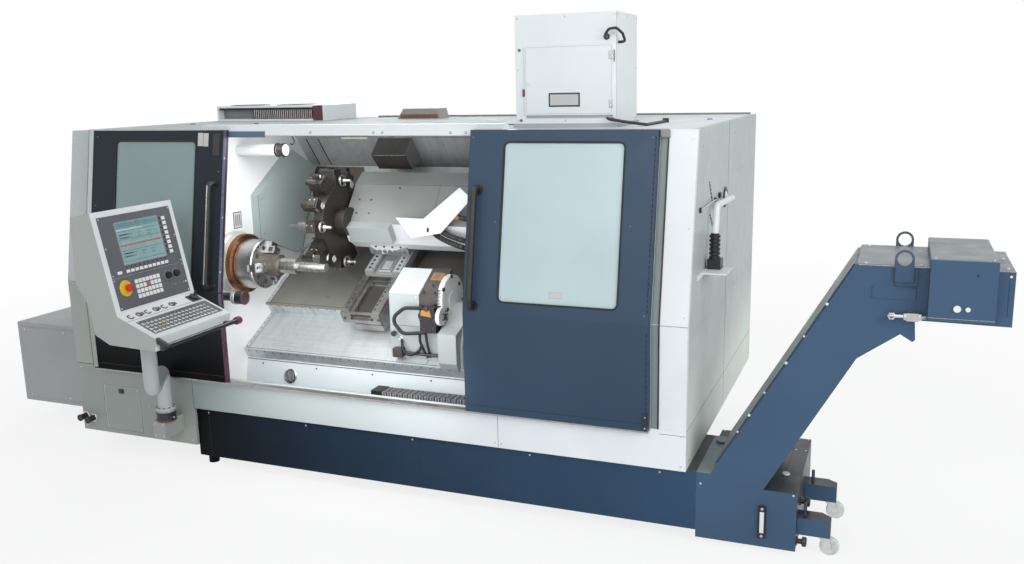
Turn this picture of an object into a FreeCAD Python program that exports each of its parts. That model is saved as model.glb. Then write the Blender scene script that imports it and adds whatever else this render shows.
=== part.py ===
"""CNC turning lathe with slant bed, sliding doors, chip conveyor and operator pendant.

Lengths are in millimetres. The shapes are built in machine coordinates: X runs along the
spindle from the cabinet's left front corner, Y runs to the rear, Z is up from the floor.
Each shape is moved to the part's origin, the centre of the footprint, when it is saved.
"""
import math
import os
import FreeCAD
import Part

os.makedirs("parts", exist_ok=True)

# Driving dimensions: cabinet
CABINET_LENGTH = 3935.0
CABINET_DEPTH = 2112.0
CABINET_HEIGHT = 2049.0
CREASE_HEIGHT = 1119.0
TOP_SETBACK = 172.0
PANEL = 32.0
COLUMN_WIDTH = 200.0
RIGHT_COLUMN_WIDTH = 154.0
LEFT_BASE_HEIGHT = 138.0
LEFT_BASE_LENGTH = 909.0
APRON_BASE = 376.0
SILL_HEIGHT = 583.0
FLOOR_PAN = 20.0
HEADER_RISE = 30.0
HEADER_DEPTH = 60.0
BASE_DEPTH_START = 570.0
BASE_RIGHT_END = CABINET_LENGTH - 285
FOOT_HEIGHT = 60.0
SIDE_BOX_LENGTH = 850.0
SIDE_BOX_FRONT = 300.0
SIDE_BOX_DEPTH = 1000.0
SIDE_BOX_BASE = 150.0
SIDE_BOX_HEIGHT = 570.0
ACCESS_X = 195.0
ACCESS_Z = 165.0
ACCESS_WIDTH = 295.0
ACCESS_HEIGHT = 295.0
ACCESS_THICK = 14.0

# Driving dimensions: doors
DOOR_GAP = 8.0
DOOR_THICKNESS = 45.0
DOOR_TOP = CABINET_HEIGHT + 2
LEFT_DOOR_WIDTH = 1006.0
RIGHT_DOOR_WIDTH = 987.0
RIGHT_DOOR_START = CABINET_LENGTH - 181 - RIGHT_DOOR_WIDTH
WINDOW_BOTTOM = 1182.0
WINDOW_HEIGHT = DOOR_TOP - 75 - WINDOW_BOTTOM
WINDOW_CORNER = 24.0
GLASS_THICKNESS = 10.0
HANDLE_RADIUS = 15.0
HANDLE_LENGTH = 600.0
HANDLE_STANDOFF = 58.0
RUNNING_GAP = 0.3

# Driving dimensions: work zone
WALL_X = 1000.0
SPINDLE_Y = 380.0
SPINDLE_Z = 1220.0
CHUCK_RADIUS = 152.5
CHUCK_LENGTH = 131.0
NOSE_LENGTH = 40.0
RING_LENGTH = 65.0
SLOT_DEPTH = 26.0
JAW_TURN = 90.0
SHAFT_RADIUS = 65.0
BED_NOSE_Y = 658.0
BED_NOSE_Z = 894.0
BED_ANGLE = 30.5
BED_LENGTH = 680.0
LOWER_NOSE_Y = 400.0
LOWER_NOSE_Z = 656.0
LOWER_ANGLE = 28.14
LOWER_LENGTH = 358.0
COVER = 12.0
LIP_Y = 404.0
LIP_TOP = 592.0
LIP_KNEE = 445.0
LINER_Y = 1290.0
LINER_KNEE = CABINET_HEIGHT - 299
TURRET_S = 374.0
TURRET_H = 418.0
TURRET_X = 1490.0
TURRET_RADIUS = 225.0
TURRET_WIDTH = 66.0
TOOL_REACH = 360.0
TOOL_COUNT = 12
SADDLE_X = 1655.0
SADDLE_LENGTH = 290.0
CARRIAGE_X = 2050.0
CHAIN_X = 2075.0
CHAIN_PITCH = 34.0
CHAIN_LINKS = 38

# Driving dimensions: conveyor
TROUGH_FRONT = 21.0
TROUGH_DEPTH = 530.0
TROUGH_BASE = 68.0
TROUGH_WALL = 12.0
TANK_X = CABINET_LENGTH + 49
TANK_LENGTH = 485.0
TANK_DEPTH = 760.0
TANK_BASE = 30.0
TANK_TOP = 328.0
INCLINE_RUN = 629.0
HEAD_TOP = 1463.0
HEAD_END = TANK_X + 1335
DRIVE_X = TANK_X + 999
DRIVE_LENGTH = 264.0
DRIVE_BASE = HEAD_TOP - 223
DRIVE_HEIGHT = 272.0
LUG_X = TANK_X + 855
LUG_WIDTH = 81.0
LUG_THICK = 10.0
CASTER_FRONT = 110.0
CASTER_REAR = TROUGH_FRONT + 519
CASTER_TRAIL = 34.0
BRACKET_TOP = 190.0
WHEEL_RADIUS = 46.0
WHEEL_WIDTH = 30.0

# Driving dimensions: operator pendant
COLUMN_X = 790.0
COLUMN_Y = -110.0
HEAD_X = 1032.0
HEAD_Y = -458.0
ARM_HEIGHT = 640.0
ARM_RADIUS = 42.0
PENDANT_LEFT = -757.0
PENDANT_WIDTH = 596.0

# Driving dimensions: roof units
MIST_X = CABINET_LENGTH - 1023
MIST_Y = 400.0
MIST_LENGTH = 553.0
MIST_DEPTH = 410.0
MIST_HEIGHT = 580.0
MIST_WALL = 6.0
COOLER_X = 61.0
COOLER_LENGTH = 924.0
COOLER_Y = 1500.0
COOLER_DEPTH = 460.0
COOLER_HEIGHT = 109.0
COOLER_RECESS = 60.0
VENT_X = 1452.0
GUN_Y = 425.0
GUN_TOP = CABINET_HEIGHT - 415

# Values worked out from the driving dimensions
LEAN = math.degrees(math.atan2(TOP_SETBACK, CABINET_HEIGHT - CREASE_HEIGHT))
LEAN_COS = math.cos(math.radians(LEAN))
CEILING = CABINET_HEIGHT - PANEL
INNER_RIGHT = CABINET_LENGTH - PANEL
PAN_TOP = APRON_BASE + FLOOR_PAN
DOOR_OUTER = -(DOOR_GAP + DOOR_THICKNESS)
TRAVEL = (RIGHT_DOOR_START - COLUMN_WIDTH - LEFT_DOOR_WIDTH) / 2
FIXED_RIGHT = RIGHT_DOOR_START + RIGHT_DOOR_WIDTH - LEFT_DOOR_WIDTH + 180
CHUCK_X = WALL_X + NOSE_LENGTH + RING_LENGTH
CHUCK_FACE = CHUCK_X + CHUCK_LENGTH
TURRET_Y = (BED_NOSE_Y + TURRET_S * math.cos(math.radians(BED_ANGLE))
            - TURRET_H * math.sin(math.radians(BED_ANGLE)))
TURRET_Z = (BED_NOSE_Z + TURRET_S * math.sin(math.radians(BED_ANGLE))
            + TURRET_H * math.cos(math.radians(BED_ANGLE)))
X_MIDDLE = (HEAD_END - SIDE_BOX_LENGTH) / 2
Y_MIDDLE = (PENDANT_LEFT + CABINET_DEPTH) / 2

X_AXIS = FreeCAD.Vector(1, 0, 0)
Y_AXIS = FreeCAD.Vector(0, 1, 0)
Z_AXIS = FreeCAD.Vector(0, 0, 1)


def point(x, y, z):
    """A point or direction."""
    return FreeCAD.Vector(x, y, z)


def box(x0, x1, y0, y1, z0, z1):
    """A block between two corners."""
    return Part.makeBox(x1 - x0, y1 - y0, z1 - z0, point(x0, y0, z0))


def cylinder(x, y, z, radius, length, axis):
    """A round bar that starts at a point and runs along an axis."""
    return Part.makeCylinder(radius, length, point(x, y, z), axis)


def prism_x(outline, x0, x1):
    """An outline of (y, z) corners, carried along X."""
    corners = [point(x0, y, z) for y, z in outline]
    face = Part.Face(Part.makePolygon(corners + corners[:1]))
    return face.extrude(point(x1 - x0, 0, 0))


def prism_y(outline, y0, y1):
    """An outline of (x, z) corners, carried along Y."""
    corners = [point(x, y0, z) for x, z in outline]
    face = Part.Face(Part.makePolygon(corners + corners[:1]))
    return face.extrude(point(0, y1 - y0, 0))


def prism_z(outline, z0, z1):
    """An outline of (x, y) corners, carried up."""
    corners = [point(x, y, z0) for x, y in outline]
    face = Part.Face(Part.makePolygon(corners + corners[:1]))
    return face.extrude(point(0, 0, z1 - z0))


def joined(shapes):
    """One solid from several that touch or overlap."""
    whole = shapes[0]
    for shape in shapes[1:]:
        whole = whole.fuse(shape)
    return whole.removeSplitter()


def rod(corners, radius, bend):
    """A round bar along straight runs with arcs of one radius at the corners."""
    corners = [point(*corner) for corner in corners]
    edges = []
    start = corners[0]
    for before, corner, after in zip(corners, corners[1:], corners[2:]):
        arriving = (corner - before).normalize()
        leaving = (after - corner).normalize()
        half = arriving.getAngle(leaving) / 2
        reach = bend * math.tan(half)
        first = corner - arriving * reach
        last = corner + leaving * reach
        inward = (leaving - arriving).normalize()
        middle = corner + inward * (bend / math.cos(half) - bend)
        edges.append(Part.makeLine(start, first))
        edges.append(Part.Arc(first, middle, last).toShape())
        start = last
    edges.append(Part.makeLine(start, corners[-1]))
    path = Part.Wire(edges)
    heading = (corners[1] - corners[0]).normalize()
    circle = Part.Wire(Part.makeCircle(radius, corners[0], heading))
    return path.makePipeShell([circle], True, True)


def placed(shape, origin, right, up):
    """Move a shape from its own axes (right, up, out) to a plane in the machine."""
    out = right.cross(up)
    matrix = FreeCAD.Matrix(right.x, up.x, out.x, origin.x,
                            right.y, up.y, out.y, origin.y,
                            right.z, up.z, out.z, origin.z,
                            0, 0, 0, 1)
    moved = shape.copy()
    moved.Placement = FreeCAD.Placement(matrix).multiply(shape.Placement)
    return moved


def turned(shape, angle, y, z):
    """Turn a shape about a line along X."""
    moved = shape.copy()
    moved.rotate(point(0, y, z), X_AXIS, angle)
    return moved


def on_bed(shape):
    """Move a shape from slope axes (x, up the slope, above the slope) to the upper slope."""
    moved = shape.copy()
    moved.rotate(point(0, 0, 0), X_AXIS, BED_ANGLE)
    moved.translate(point(0, BED_NOSE_Y, BED_NOSE_Z))
    return moved


def on_lower(shape):
    """The same for the lower slope."""
    moved = shape.copy()
    moved.rotate(point(0, 0, 0), X_AXIS, LOWER_ANGLE)
    moved.translate(point(0, LOWER_NOSE_Y, LOWER_NOSE_Z))
    return moved


def on_lean(shape):
    """Move a shape from (x, depth, height above the crease) to the leaning front."""
    moved = shape.copy()
    moved.translate(point(0, 0, CREASE_HEIGHT))
    moved.rotate(point(0, 0, CREASE_HEIGHT), X_AXIS, -LEAN)
    return moved


def front_y(z, offset):
    """Depth of the cabinet front at a height, moved out by an offset."""
    bend = CREASE_HEIGHT - offset * math.tan(math.radians(LEAN / 2))
    if z <= bend:
        return offset
    return (z - CREASE_HEIGHT) * math.tan(math.radians(LEAN)) + offset / LEAN_COS


def front_sheet(x0, x1, z0, z1, outer, inner):
    """A sheet that follows the vertical and leaning parts of the front."""
    outline = [(front_y(z0, outer), z0)]
    for offset, ends in ((outer, (z0, z1)), (inner, (z1, z0))):
        bend = CREASE_HEIGHT - offset * math.tan(math.radians(LEAN / 2))
        if offset == inner:
            outline.append((front_y(z1, inner), z1))
        if z0 < bend < z1:
            outline.append((offset, bend))
        if offset == outer:
            outline.append((front_y(z1, outer), z1))
    outline.append((front_y(z0, inner), z0))
    return prism_x(outline, x0, x1)


def rounded_plate(x0, x1, y0, y1, z0, z1, corner):
    """A plate in the XZ plane with rounded corners."""
    plate = box(x0, x1, y0, y1, z0, z1)
    upright = [edge for edge in plate.Edges if abs(edge.tangentAt(edge.FirstParameter).y) > 0.9]
    return plate.makeFillet(corner, upright)


PARTS = {}


def keep(name, shapes):
    """Register the solids of one piece."""
    if not isinstance(shapes, (list, tuple)):
        shapes = [shapes]
    solids = []
    for shape in shapes:
        solids.extend(shape.Solids)
    PARTS[name] = solids


# ---------------------------------------------------------------- cabinet
def side_outline(base):
    """Side panel seen from the side, behind the front sheets."""
    bend = CREASE_HEIGHT - PANEL * math.tan(math.radians(LEAN / 2))
    return [(PANEL, base), (PANEL, bend), (front_y(CABINET_HEIGHT, PANEL), CABINET_HEIGHT),
            (CABINET_DEPTH, CABINET_HEIGHT), (CABINET_DEPTH, base)]


def make_cabinet():
    pan_y = LIP_Y
    base = box(60, BASE_RIGHT_END, BASE_DEPTH_START, CABINET_DEPTH - 2 * PANEL, FOOT_HEIGHT, APRON_BASE)
    pan = box(PANEL, INNER_RIGHT, pan_y, CABINET_DEPTH - PANEL, APRON_BASE, PAN_TOP)
    left_floor = box(PANEL, LEFT_BASE_LENGTH, PANEL, pan_y, APRON_BASE, PAN_TOP)
    feet = []
    for x in (260, BASE_RIGHT_END / 2, BASE_RIGHT_END - 200):
        for y in (BASE_DEPTH_START + 130, CABINET_DEPTH - 260):
            pad = cylinder(x, y, 0, 60, 18, Z_AXIS)
            stem = cylinder(x, y, 18, 18, FOOT_HEIGHT - 18, Z_AXIS)
            feet.append(pad.fuse(stem))
    keep("base_frame", [base, pan, left_floor] + feet)

    keep("left_side_panel", prism_x(side_outline(LEFT_BASE_HEIGHT), 0, PANEL))
    keep("right_side_panel", prism_x(side_outline(APRON_BASE), INNER_RIGHT, CABINET_LENGTH))
    keep("rear_panel", box(PANEL, INNER_RIGHT, CABINET_DEPTH - PANEL, CABINET_DEPTH, APRON_BASE, CEILING))
    header_back = front_y(CABINET_HEIGHT, 0) + HEADER_DEPTH
    roof = box(PANEL, INNER_RIGHT, header_back, CABINET_DEPTH, CEILING, CABINET_HEIGHT)
    keep("roof_panel", roof)

    lower = box(0, LEFT_BASE_LENGTH, 0, PANEL, LEFT_BASE_HEIGHT, SILL_HEIGHT)
    bend = CREASE_HEIGHT - PANEL * math.tan(math.radians(LEAN / 2))
    middle = prism_x([(0, SILL_HEIGHT), (0, CREASE_HEIGHT), (PANEL, bend), (PANEL, SILL_HEIGHT)],
                     0, WALL_X)
    leaning = front_sheet(0, WALL_X, SILL_HEIGHT, CEILING, 0, PANEL).cut(middle)
    corner = front_sheet(0, COLUMN_WIDTH, CEILING, CABINET_HEIGHT, 0, PANEL)
    recess = box(ACCESS_X, ACCESS_X + ACCESS_WIDTH, 0, ACCESS_THICK, ACCESS_Z, ACCESS_Z + ACCESS_HEIGHT)
    hole = box(ACCESS_X + 25, ACCESS_X + ACCESS_WIDTH - 25, 0, PANEL,
               ACCESS_Z + 25, ACCESS_Z + ACCESS_HEIGHT - 25)
    lower = lower.cut(recess).cut(hole)
    stubs = [cylinder(x, -62, z, 19, 62, Y_AXIS) for x, z in ((31, 233), (93, 224))]
    keep("left_front_panel", [lower, middle, joined([leaning, corner])] + stubs)
    door = box(ACCESS_X + 2, ACCESS_X + ACCESS_WIDTH - 2, 0, ACCESS_THICK,
               ACCESS_Z + 2, ACCESS_Z + ACCESS_HEIGHT - 2)
    latch = cylinder(ACCESS_X + ACCESS_WIDTH / 2, -6, ACCESS_Z + ACCESS_HEIGHT - 35, 14, 6, Y_AXIS)
    keep("access_panel", joined([door, latch]))

    keep("front_apron", box(LEFT_BASE_LENGTH, CABINET_LENGTH, 0, PANEL, APRON_BASE, SILL_HEIGHT))
    right = front_sheet(FIXED_RIGHT, CABINET_LENGTH, SILL_HEIGHT, CEILING, 0, PANEL)
    right_corner = front_sheet(CABINET_LENGTH - RIGHT_COLUMN_WIDTH, CABINET_LENGTH,
                               CEILING, CABINET_HEIGHT, 0, PANEL)
    keep("right_front_panel", joined([right, right_corner]))

    low = front_y(CEILING, 0)
    top = front_y(CABINET_HEIGHT, 0)
    rail = prism_x([(low, CEILING), (top, CABINET_HEIGHT), (header_back, CABINET_HEIGHT),
                    (header_back, CEILING)], COLUMN_WIDTH, CABINET_LENGTH - RIGHT_COLUMN_WIDTH)
    cap = box(WALL_X, FIXED_RIGHT, top, header_back, CABINET_HEIGHT, CABINET_HEIGHT + HEADER_RISE)
    back_left = box(PANEL, COLUMN_WIDTH, front_y(CABINET_HEIGHT, PANEL), header_back,
                    CEILING, CABINET_HEIGHT)
    back_right = box(CABINET_LENGTH - RIGHT_COLUMN_WIDTH, INNER_RIGHT, front_y(CABINET_HEIGHT, PANEL),
                     header_back, CEILING, CABINET_HEIGHT)
    keep("header", joined([rail, cap, back_left, back_right]))

    rail_end = RIGHT_DOOR_START + RIGHT_DOOR_WIDTH
    ledge = box(COLUMN_WIDTH, rail_end, DOOR_OUTER + 5, 0, SILL_HEIGHT - 10, SILL_HEIGHT)
    guide = front_sheet(COLUMN_WIDTH, rail_end, CEILING + 4, CABINET_HEIGHT - 4,
                        -(DOOR_GAP - RUNNING_GAP), 0)
    keep("door_rails", [ledge, guide])

    side_box = box(-SIDE_BOX_LENGTH, 0, SIDE_BOX_FRONT, SIDE_BOX_FRONT + SIDE_BOX_DEPTH,
                   SIDE_BOX_BASE, SIDE_BOX_BASE + SIDE_BOX_HEIGHT)
    keep("left_side_box", side_box.makeChamfer(6, side_box.Edges))


# ---------------------------------------------------------------- doors
def door(name, x0, width, window_x, window_width, handle_x, handle_radius):
    """A sliding door: folded frame, window pane and bar handle."""
    sheet = front_sheet(x0, x0 + width, SILL_HEIGHT + RUNNING_GAP, DOOR_TOP, DOOR_OUTER, -DOOR_GAP)
    low = (WINDOW_BOTTOM - CREASE_HEIGHT) / LEAN_COS
    high = low + WINDOW_HEIGHT / LEAN_COS
    opening = rounded_plate(window_x, window_x + window_width, DOOR_OUTER - 20, 20, low, high,
                            WINDOW_CORNER)
    keep(name + "_frame", sheet.cut(on_lean(opening)))
    pane = rounded_plate(window_x, window_x + window_width, DOOR_OUTER + 6,
                         DOOR_OUTER + 6 + GLASS_THICKNESS, low, high, WINDOW_CORNER)
    keep(name + "_window", on_lean(pane))
    foot = 30.0
    reach = DOOR_OUTER - HANDLE_STANDOFF
    bar = rod([(handle_x, DOOR_OUTER, foot), (handle_x, reach, foot),
               (handle_x, reach, foot + HANDLE_LENGTH), (handle_x, DOOR_OUTER, foot + HANDLE_LENGTH)],
              handle_radius, 2 * handle_radius)
    feet = [cylinder(handle_x, DOOR_OUTER - 8, z, handle_radius * 1.5, 8, Y_AXIS)
            for z in (foot, foot + HANDLE_LENGTH)]
    keep(name + "_handle", on_lean(joined([bar] + feet)))


def make_doors():
    door("left_door", COLUMN_WIDTH, LEFT_DOOR_WIDTH, COLUMN_WIDTH + 215, 592,
         COLUMN_WIDTH + LEFT_DOOR_WIDTH - 46, HANDLE_RADIUS)
    door("right_door", RIGHT_DOOR_START, RIGHT_DOOR_WIDTH, RIGHT_DOOR_START + 198, 625,
         RIGHT_DOOR_START + 58, HANDLE_RADIUS + 3)


# ---------------------------------------------------------------- work zone
def make_work_zone():
    bend = CREASE_HEIGHT - PANEL * math.tan(math.radians(LEAN / 2))
    wall = prism_x([(PANEL, PAN_TOP), (PANEL, bend), (front_y(CEILING, PANEL), CEILING),
                    (LINER_Y, CEILING), (LINER_Y, PAN_TOP)], WALL_X - 40, WALL_X)
    keep("headstock_wall", wall)

    nose = cylinder(WALL_X, SPINDLE_Y, SPINDLE_Z, CHUCK_RADIUS + 47, NOSE_LENGTH, X_AXIS)
    nose = nose.makeChamfer(12, [edge for edge in nose.Edges if edge.Curve.TypeId == "Part::GeomCircle"
                                 and edge.CenterOfMass.x > WALL_X + 1])
    ring = cylinder(WALL_X + NOSE_LENGTH, SPINDLE_Y, SPINDLE_Z, CHUCK_RADIUS + 30, RING_LENGTH, X_AXIS)
    keep("spindle_nose", [nose, ring])

    guard = prism_x([(LINER_Y - 297, CEILING - 141), (588, CEILING - 398), (590, SPINDLE_Z + 121),
                     (1028, SPINDLE_Z - 45), (LINER_Y - 86, LINER_KNEE - 96),
                     (LINER_Y - 22, LINER_KNEE - 8)], WALL_X, WALL_X + 60)
    keep("corner_guard", guard)

    bed_top = BED_NOSE_Z + BED_LENGTH * math.sin(math.radians(BED_ANGLE))
    bed_back = BED_NOSE_Y + BED_LENGTH * math.cos(math.radians(BED_ANGLE))
    shelf_y = LOWER_NOSE_Y + LOWER_LENGTH * math.cos(math.radians(LOWER_ANGLE))
    shelf_z = LOWER_NOSE_Z + LOWER_LENGTH * math.sin(math.radians(LOWER_ANGLE))
    outline = [(BED_NOSE_Y, BED_NOSE_Z), (bed_back, bed_top), (LINER_Y, bed_top), (LINER_Y, PAN_TOP),
               (LIP_Y, PAN_TOP), (LIP_Y, LIP_KNEE), (LIP_Y + 33, LIP_TOP),
               (LOWER_NOSE_Y, LOWER_NOSE_Z), (shelf_y, shelf_z)]
    whole = prism_x(outline, WALL_X, INNER_RIGHT)
    upper = on_bed(box(WALL_X, INNER_RIGHT, 0, BED_LENGTH, -COVER, 0))
    lower = on_lower(box(WALL_X, INNER_RIGHT, 0, LOWER_LENGTH, -COVER, 0))
    lip = prism_x([(LIP_Y, PAN_TOP), (LIP_Y, LIP_KNEE), (LIP_Y + 33, LIP_TOP),
                   (LIP_Y + 33 + COVER, LIP_TOP), (LIP_Y + COVER, LIP_KNEE),
                   (LIP_Y + COVER, PAN_TOP)], WALL_X, INNER_RIGHT)
    upper = upper.common(whole)
    lower = lower.common(whole)
    lip = lip.common(whole)
    keep("slant_bed", whole.cut(upper).cut(lower).cut(lip))
    lip_angle = math.degrees(math.atan2(33, LIP_TOP - LIP_KNEE))
    glass = cylinder(WALL_X + 336, -8, 56, 44, 8, Y_AXIS)
    glass = turned(glass, -lip_angle, 0, 0)
    glass.translate(point(0, LIP_Y, LIP_KNEE))
    keep("bed_covers", [upper, lower, joined([lip, glass])])

    liner = prism_x([(LINER_Y, PAN_TOP), (LINER_Y, LINER_KNEE), (LINER_Y - 160, LINER_KNEE + 198),
                     (LINER_Y - 250, CEILING), (LINER_Y - 226, CEILING),
                     (LINER_Y - 145, LINER_KNEE + 210), (LINER_Y + 20, LINER_KNEE + 8),
                     (LINER_Y + 20, PAN_TOP)], WALL_X, INNER_RIGHT)
    keep("rear_liner", liner)

    tube = cylinder(WALL_X, SPINDLE_Y + 125, CEILING - 105, 35, 350, X_AXIS)
    cap = cylinder(WALL_X + 305, SPINDLE_Y + 125, CEILING - 105, 39, 45, X_AXIS)
    keep("work_lamp", [tube.cut(cap), cap])

    spot_y = SPINDLE_Y - 200
    spot_z = SPINDLE_Z - 172
    holder = cylinder(WALL_X, spot_y, spot_z, 24, 150, X_AXIS)
    socket = cylinder(WALL_X, spot_y, spot_z, 34, 8, X_AXIS)
    head = cylinder(WALL_X + 135, spot_y, spot_z, 40, 78, X_AXIS)
    head = head.makeChamfer(5, [edge for edge in head.Edges if edge.Curve.TypeId == "Part::GeomCircle"
                                and edge.CenterOfMass.x > WALL_X + 200])
    keep("spot_lamp", joined([holder, socket, head]))

    unit = prism_x([(LINER_Y - 160, LINER_KNEE + 198), (LINER_Y - 262, LINER_KNEE + 92),
                    (LINER_Y - 168, LINER_KNEE - 2),
                    (LINER_Y - 40, LINER_KNEE + 49.5)], WALL_X + 640, WALL_X + 890)
    keep("ceiling_box", unit)


def make_chuck():
    body = cylinder(CHUCK_X, SPINDLE_Y, SPINDLE_Z, CHUCK_RADIUS, CHUCK_LENGTH, X_AXIS)
    rims = [edge for edge in body.Edges if edge.Curve.TypeId == "Part::GeomCircle"]
    body = body.makeChamfer(5, rims)
    bore = cylinder(CHUCK_FACE - 60, SPINDLE_Y, SPINDLE_Z, 52, 60, X_AXIS)
    body = body.cut(bore)
    slots = []
    holes = []
    for turn in (0, 120, 240):
        slot = box(CHUCK_FACE - SLOT_DEPTH, CHUCK_FACE, SPINDLE_Y - 22, SPINDLE_Y + 22,
                   SPINDLE_Z + 40, SPINDLE_Z + CHUCK_RADIUS + 10)
        slots.append(turned(slot, turn + JAW_TURN, SPINDLE_Y, SPINDLE_Z))
        hole = cylinder(CHUCK_FACE - 30, SPINDLE_Y, SPINDLE_Z + 105, 11, 30, X_AXIS)
        holes.append(turned(hole, turn + JAW_TURN + 38, SPINDLE_Y, SPINDLE_Z))
        holes.append(turned(hole, turn + JAW_TURN + 82, SPINDLE_Y, SPINDLE_Z))
    for tool in slots + holes:
        body = body.cut(tool)
    keep("chuck_body", body)

    for number, turn in enumerate((0, 120, 240), start=1):
        key = box(CHUCK_FACE - SLOT_DEPTH, CHUCK_FACE, SPINDLE_Y - 21.7, SPINDLE_Y + 21.7,
                  SPINDLE_Z + 68, SPINDLE_Z + 143)
        top = box(CHUCK_FACE, CHUCK_FACE + 56, SPINDLE_Y - 30, SPINDLE_Y + 30,
                  SPINDLE_Z + SHAFT_RADIUS, SPINDLE_Z + 112)
        step = box(CHUCK_FACE, CHUCK_FACE + 26, SPINDLE_Y - 30, SPINDLE_Y + 30,
                   SPINDLE_Z + 112, SPINDLE_Z + 143)
        jaw = joined([key, top, step])
        for depth in (88, 122):
            jaw = jaw.cut(cylinder(CHUCK_FACE - 10, SPINDLE_Y, SPINDLE_Z + depth, 9, 80, X_AXIS))
        keep("chuck_jaw_%d" % number, turned(jaw, turn + JAW_TURN, SPINDLE_Y, SPINDLE_Z))

    shaft = []
    start = CHUCK_FACE - 50
    for radius, end in ((SHAFT_RADIUS - 16, CHUCK_FACE), (SHAFT_RADIUS, CHUCK_FACE + 113),
                        (SHAFT_RADIUS - 16, CHUCK_FACE + 237), (SHAFT_RADIUS - 35, CHUCK_FACE + 387),
                        (SHAFT_RADIUS - 39, CHUCK_FACE + 435)):
        shaft.append(cylinder(start, SPINDLE_Y, SPINDLE_Z, radius, end - start, X_AXIS))
        start = end
    keep("workpiece", joined(shaft))


def make_slides():
    end = SADDLE_X + SADDLE_LENGTH
    base = box(SADDLE_X, end, -100, 640, RUNNING_GAP, 78)
    channel = box(SADDLE_X + 80, end - 63, -140, 200, 40, 90)
    left_rail = box(SADDLE_X + 20, SADDLE_X + 64, -100, 640, 78, 102)
    right_rail = box(end - 60, end - 5, -100, 640, 78, 102)
    stop = box(SADDLE_X + 10, end - 10, -122, -100, 12, 92)
    apron = box(SADDLE_X + 80, end - 10, -116, -4, -45, RUNNING_GAP)
    saddle = joined([base, left_rail, right_rail, stop]).cut(channel)
    keep("saddle", on_bed(joined([saddle, apron])))

    block = box(SADDLE_X + 45, end + 22, 215, 560, 102 + RUNNING_GAP, 150)
    pocket = box(SADDLE_X + 110, end - 50, 200, 400, 124, 160)
    plinth = box(SADDLE_X + 20, end + 10, 380, 620, 150, 330)
    keyway = box(SADDLE_X + 64 + RUNNING_GAP, end - 60 - RUNNING_GAP, 240, 540,
                 78 + RUNNING_GAP, 102 + RUNNING_GAP)
    block = on_bed(joined([block.cut(pocket), plinth, keyway]))
    shroud_top = LINER_KNEE - 15
    shroud = prism_x([(TURRET_Y - 3, TURRET_Z - 7), (TURRET_Y + 173, shroud_top - 64),
                      (LINER_Y - 260, shroud_top), (LINER_Y - 205, shroud_top - 9),
                      (LINER_Y - 90, shroud_top - 135), (LINER_Y - 75, shroud_top - 315),
                      (TURRET_Y + 132, TURRET_Z - 184), (TURRET_Y + 67, TURRET_Z - 144)],
                     TURRET_X + TURRET_WIDTH + 12, TURRET_X + 970)
    spindle = cylinder(TURRET_X + TURRET_WIDTH, TURRET_Y, TURRET_Z, 90, 60, X_AXIS)
    arm = box(SADDLE_X - 60, SADDLE_X + 260, TURRET_S - 60, TURRET_S + 110, 300, TURRET_H)
    head = joined([shroud, spindle, on_bed(arm), block])
    flap_x = TURRET_X + 481
    flap_y = TURRET_Y - 52
    flap_z = TURRET_Z + 44
    flap = prism_y([(flap_x, flap_z), (flap_x + 192, flap_z - 2), (flap_x + 442, flap_z + 194),
                    (flap_x + 517, flap_z + 129), (flap_x + 306, flap_z - 87),
                    (flap_x + 105, flap_z - 125)], flap_y, flap_y + 6)
    bracket = box(flap_x + 209, flap_x + 289, flap_y + 4, TURRET_Y + 92, flap_z - 10, flap_z + 4)
    keep("turret_housing", [joined([head, bracket, flap])])

    disc = cylinder(TURRET_X, TURRET_Y, TURRET_Z, TURRET_RADIUS, TURRET_WIDTH, X_AXIS)
    shapes = [disc]
    hub = cylinder(TURRET_X - 25, TURRET_Y, TURRET_Z, 95, 25, X_AXIS)
    shapes.append(hub)
    for index in range(TOOL_COUNT):
        angle = index * 360.0 / TOOL_COUNT
        holder = box(TURRET_X - 8, TURRET_X + 56, TURRET_Y - 34, TURRET_Y + 34,
                     TURRET_Z + TURRET_RADIUS - 18, TURRET_Z + TURRET_RADIUS + 74)
        shapes.append(turned(holder, angle, TURRET_Y, TURRET_Z))
        if index % 3 == 0:
            body = cylinder(TURRET_X - 78, TURRET_Y, TURRET_Z + TURRET_RADIUS + 34, 32, 70, X_AXIS)
            tip = cylinder(TURRET_X - 150, TURRET_Y, TURRET_Z + TURRET_RADIUS + 34, 10, 72, X_AXIS)
        elif index % 3 == 1:
            body = box(TURRET_X - 20, TURRET_X + 30, TURRET_Y - 12, TURRET_Y + 12,
                       TURRET_Z + TURRET_RADIUS + 74, TURRET_Z + TOOL_REACH)
            tip = box(TURRET_X - 34, TURRET_X - 20, TURRET_Y - 12, TURRET_Y + 12,
                      TURRET_Z + TOOL_REACH - 22, TURRET_Z + TOOL_REACH)
        else:
            body = cylinder(TURRET_X - 52, TURRET_Y, TURRET_Z + TURRET_RADIUS + 30, 40, 44, X_AXIS)
            tip = cylinder(TURRET_X - 74, TURRET_Y, TURRET_Z + TURRET_RADIUS + 30, 22, 22, X_AXIS)
        shapes.append(turned(body, angle, TURRET_Y, TURRET_Z))
        shapes.append(turned(tip, angle, TURRET_Y, TURRET_Z))
    keep("turret_disc", joined(shapes))


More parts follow.
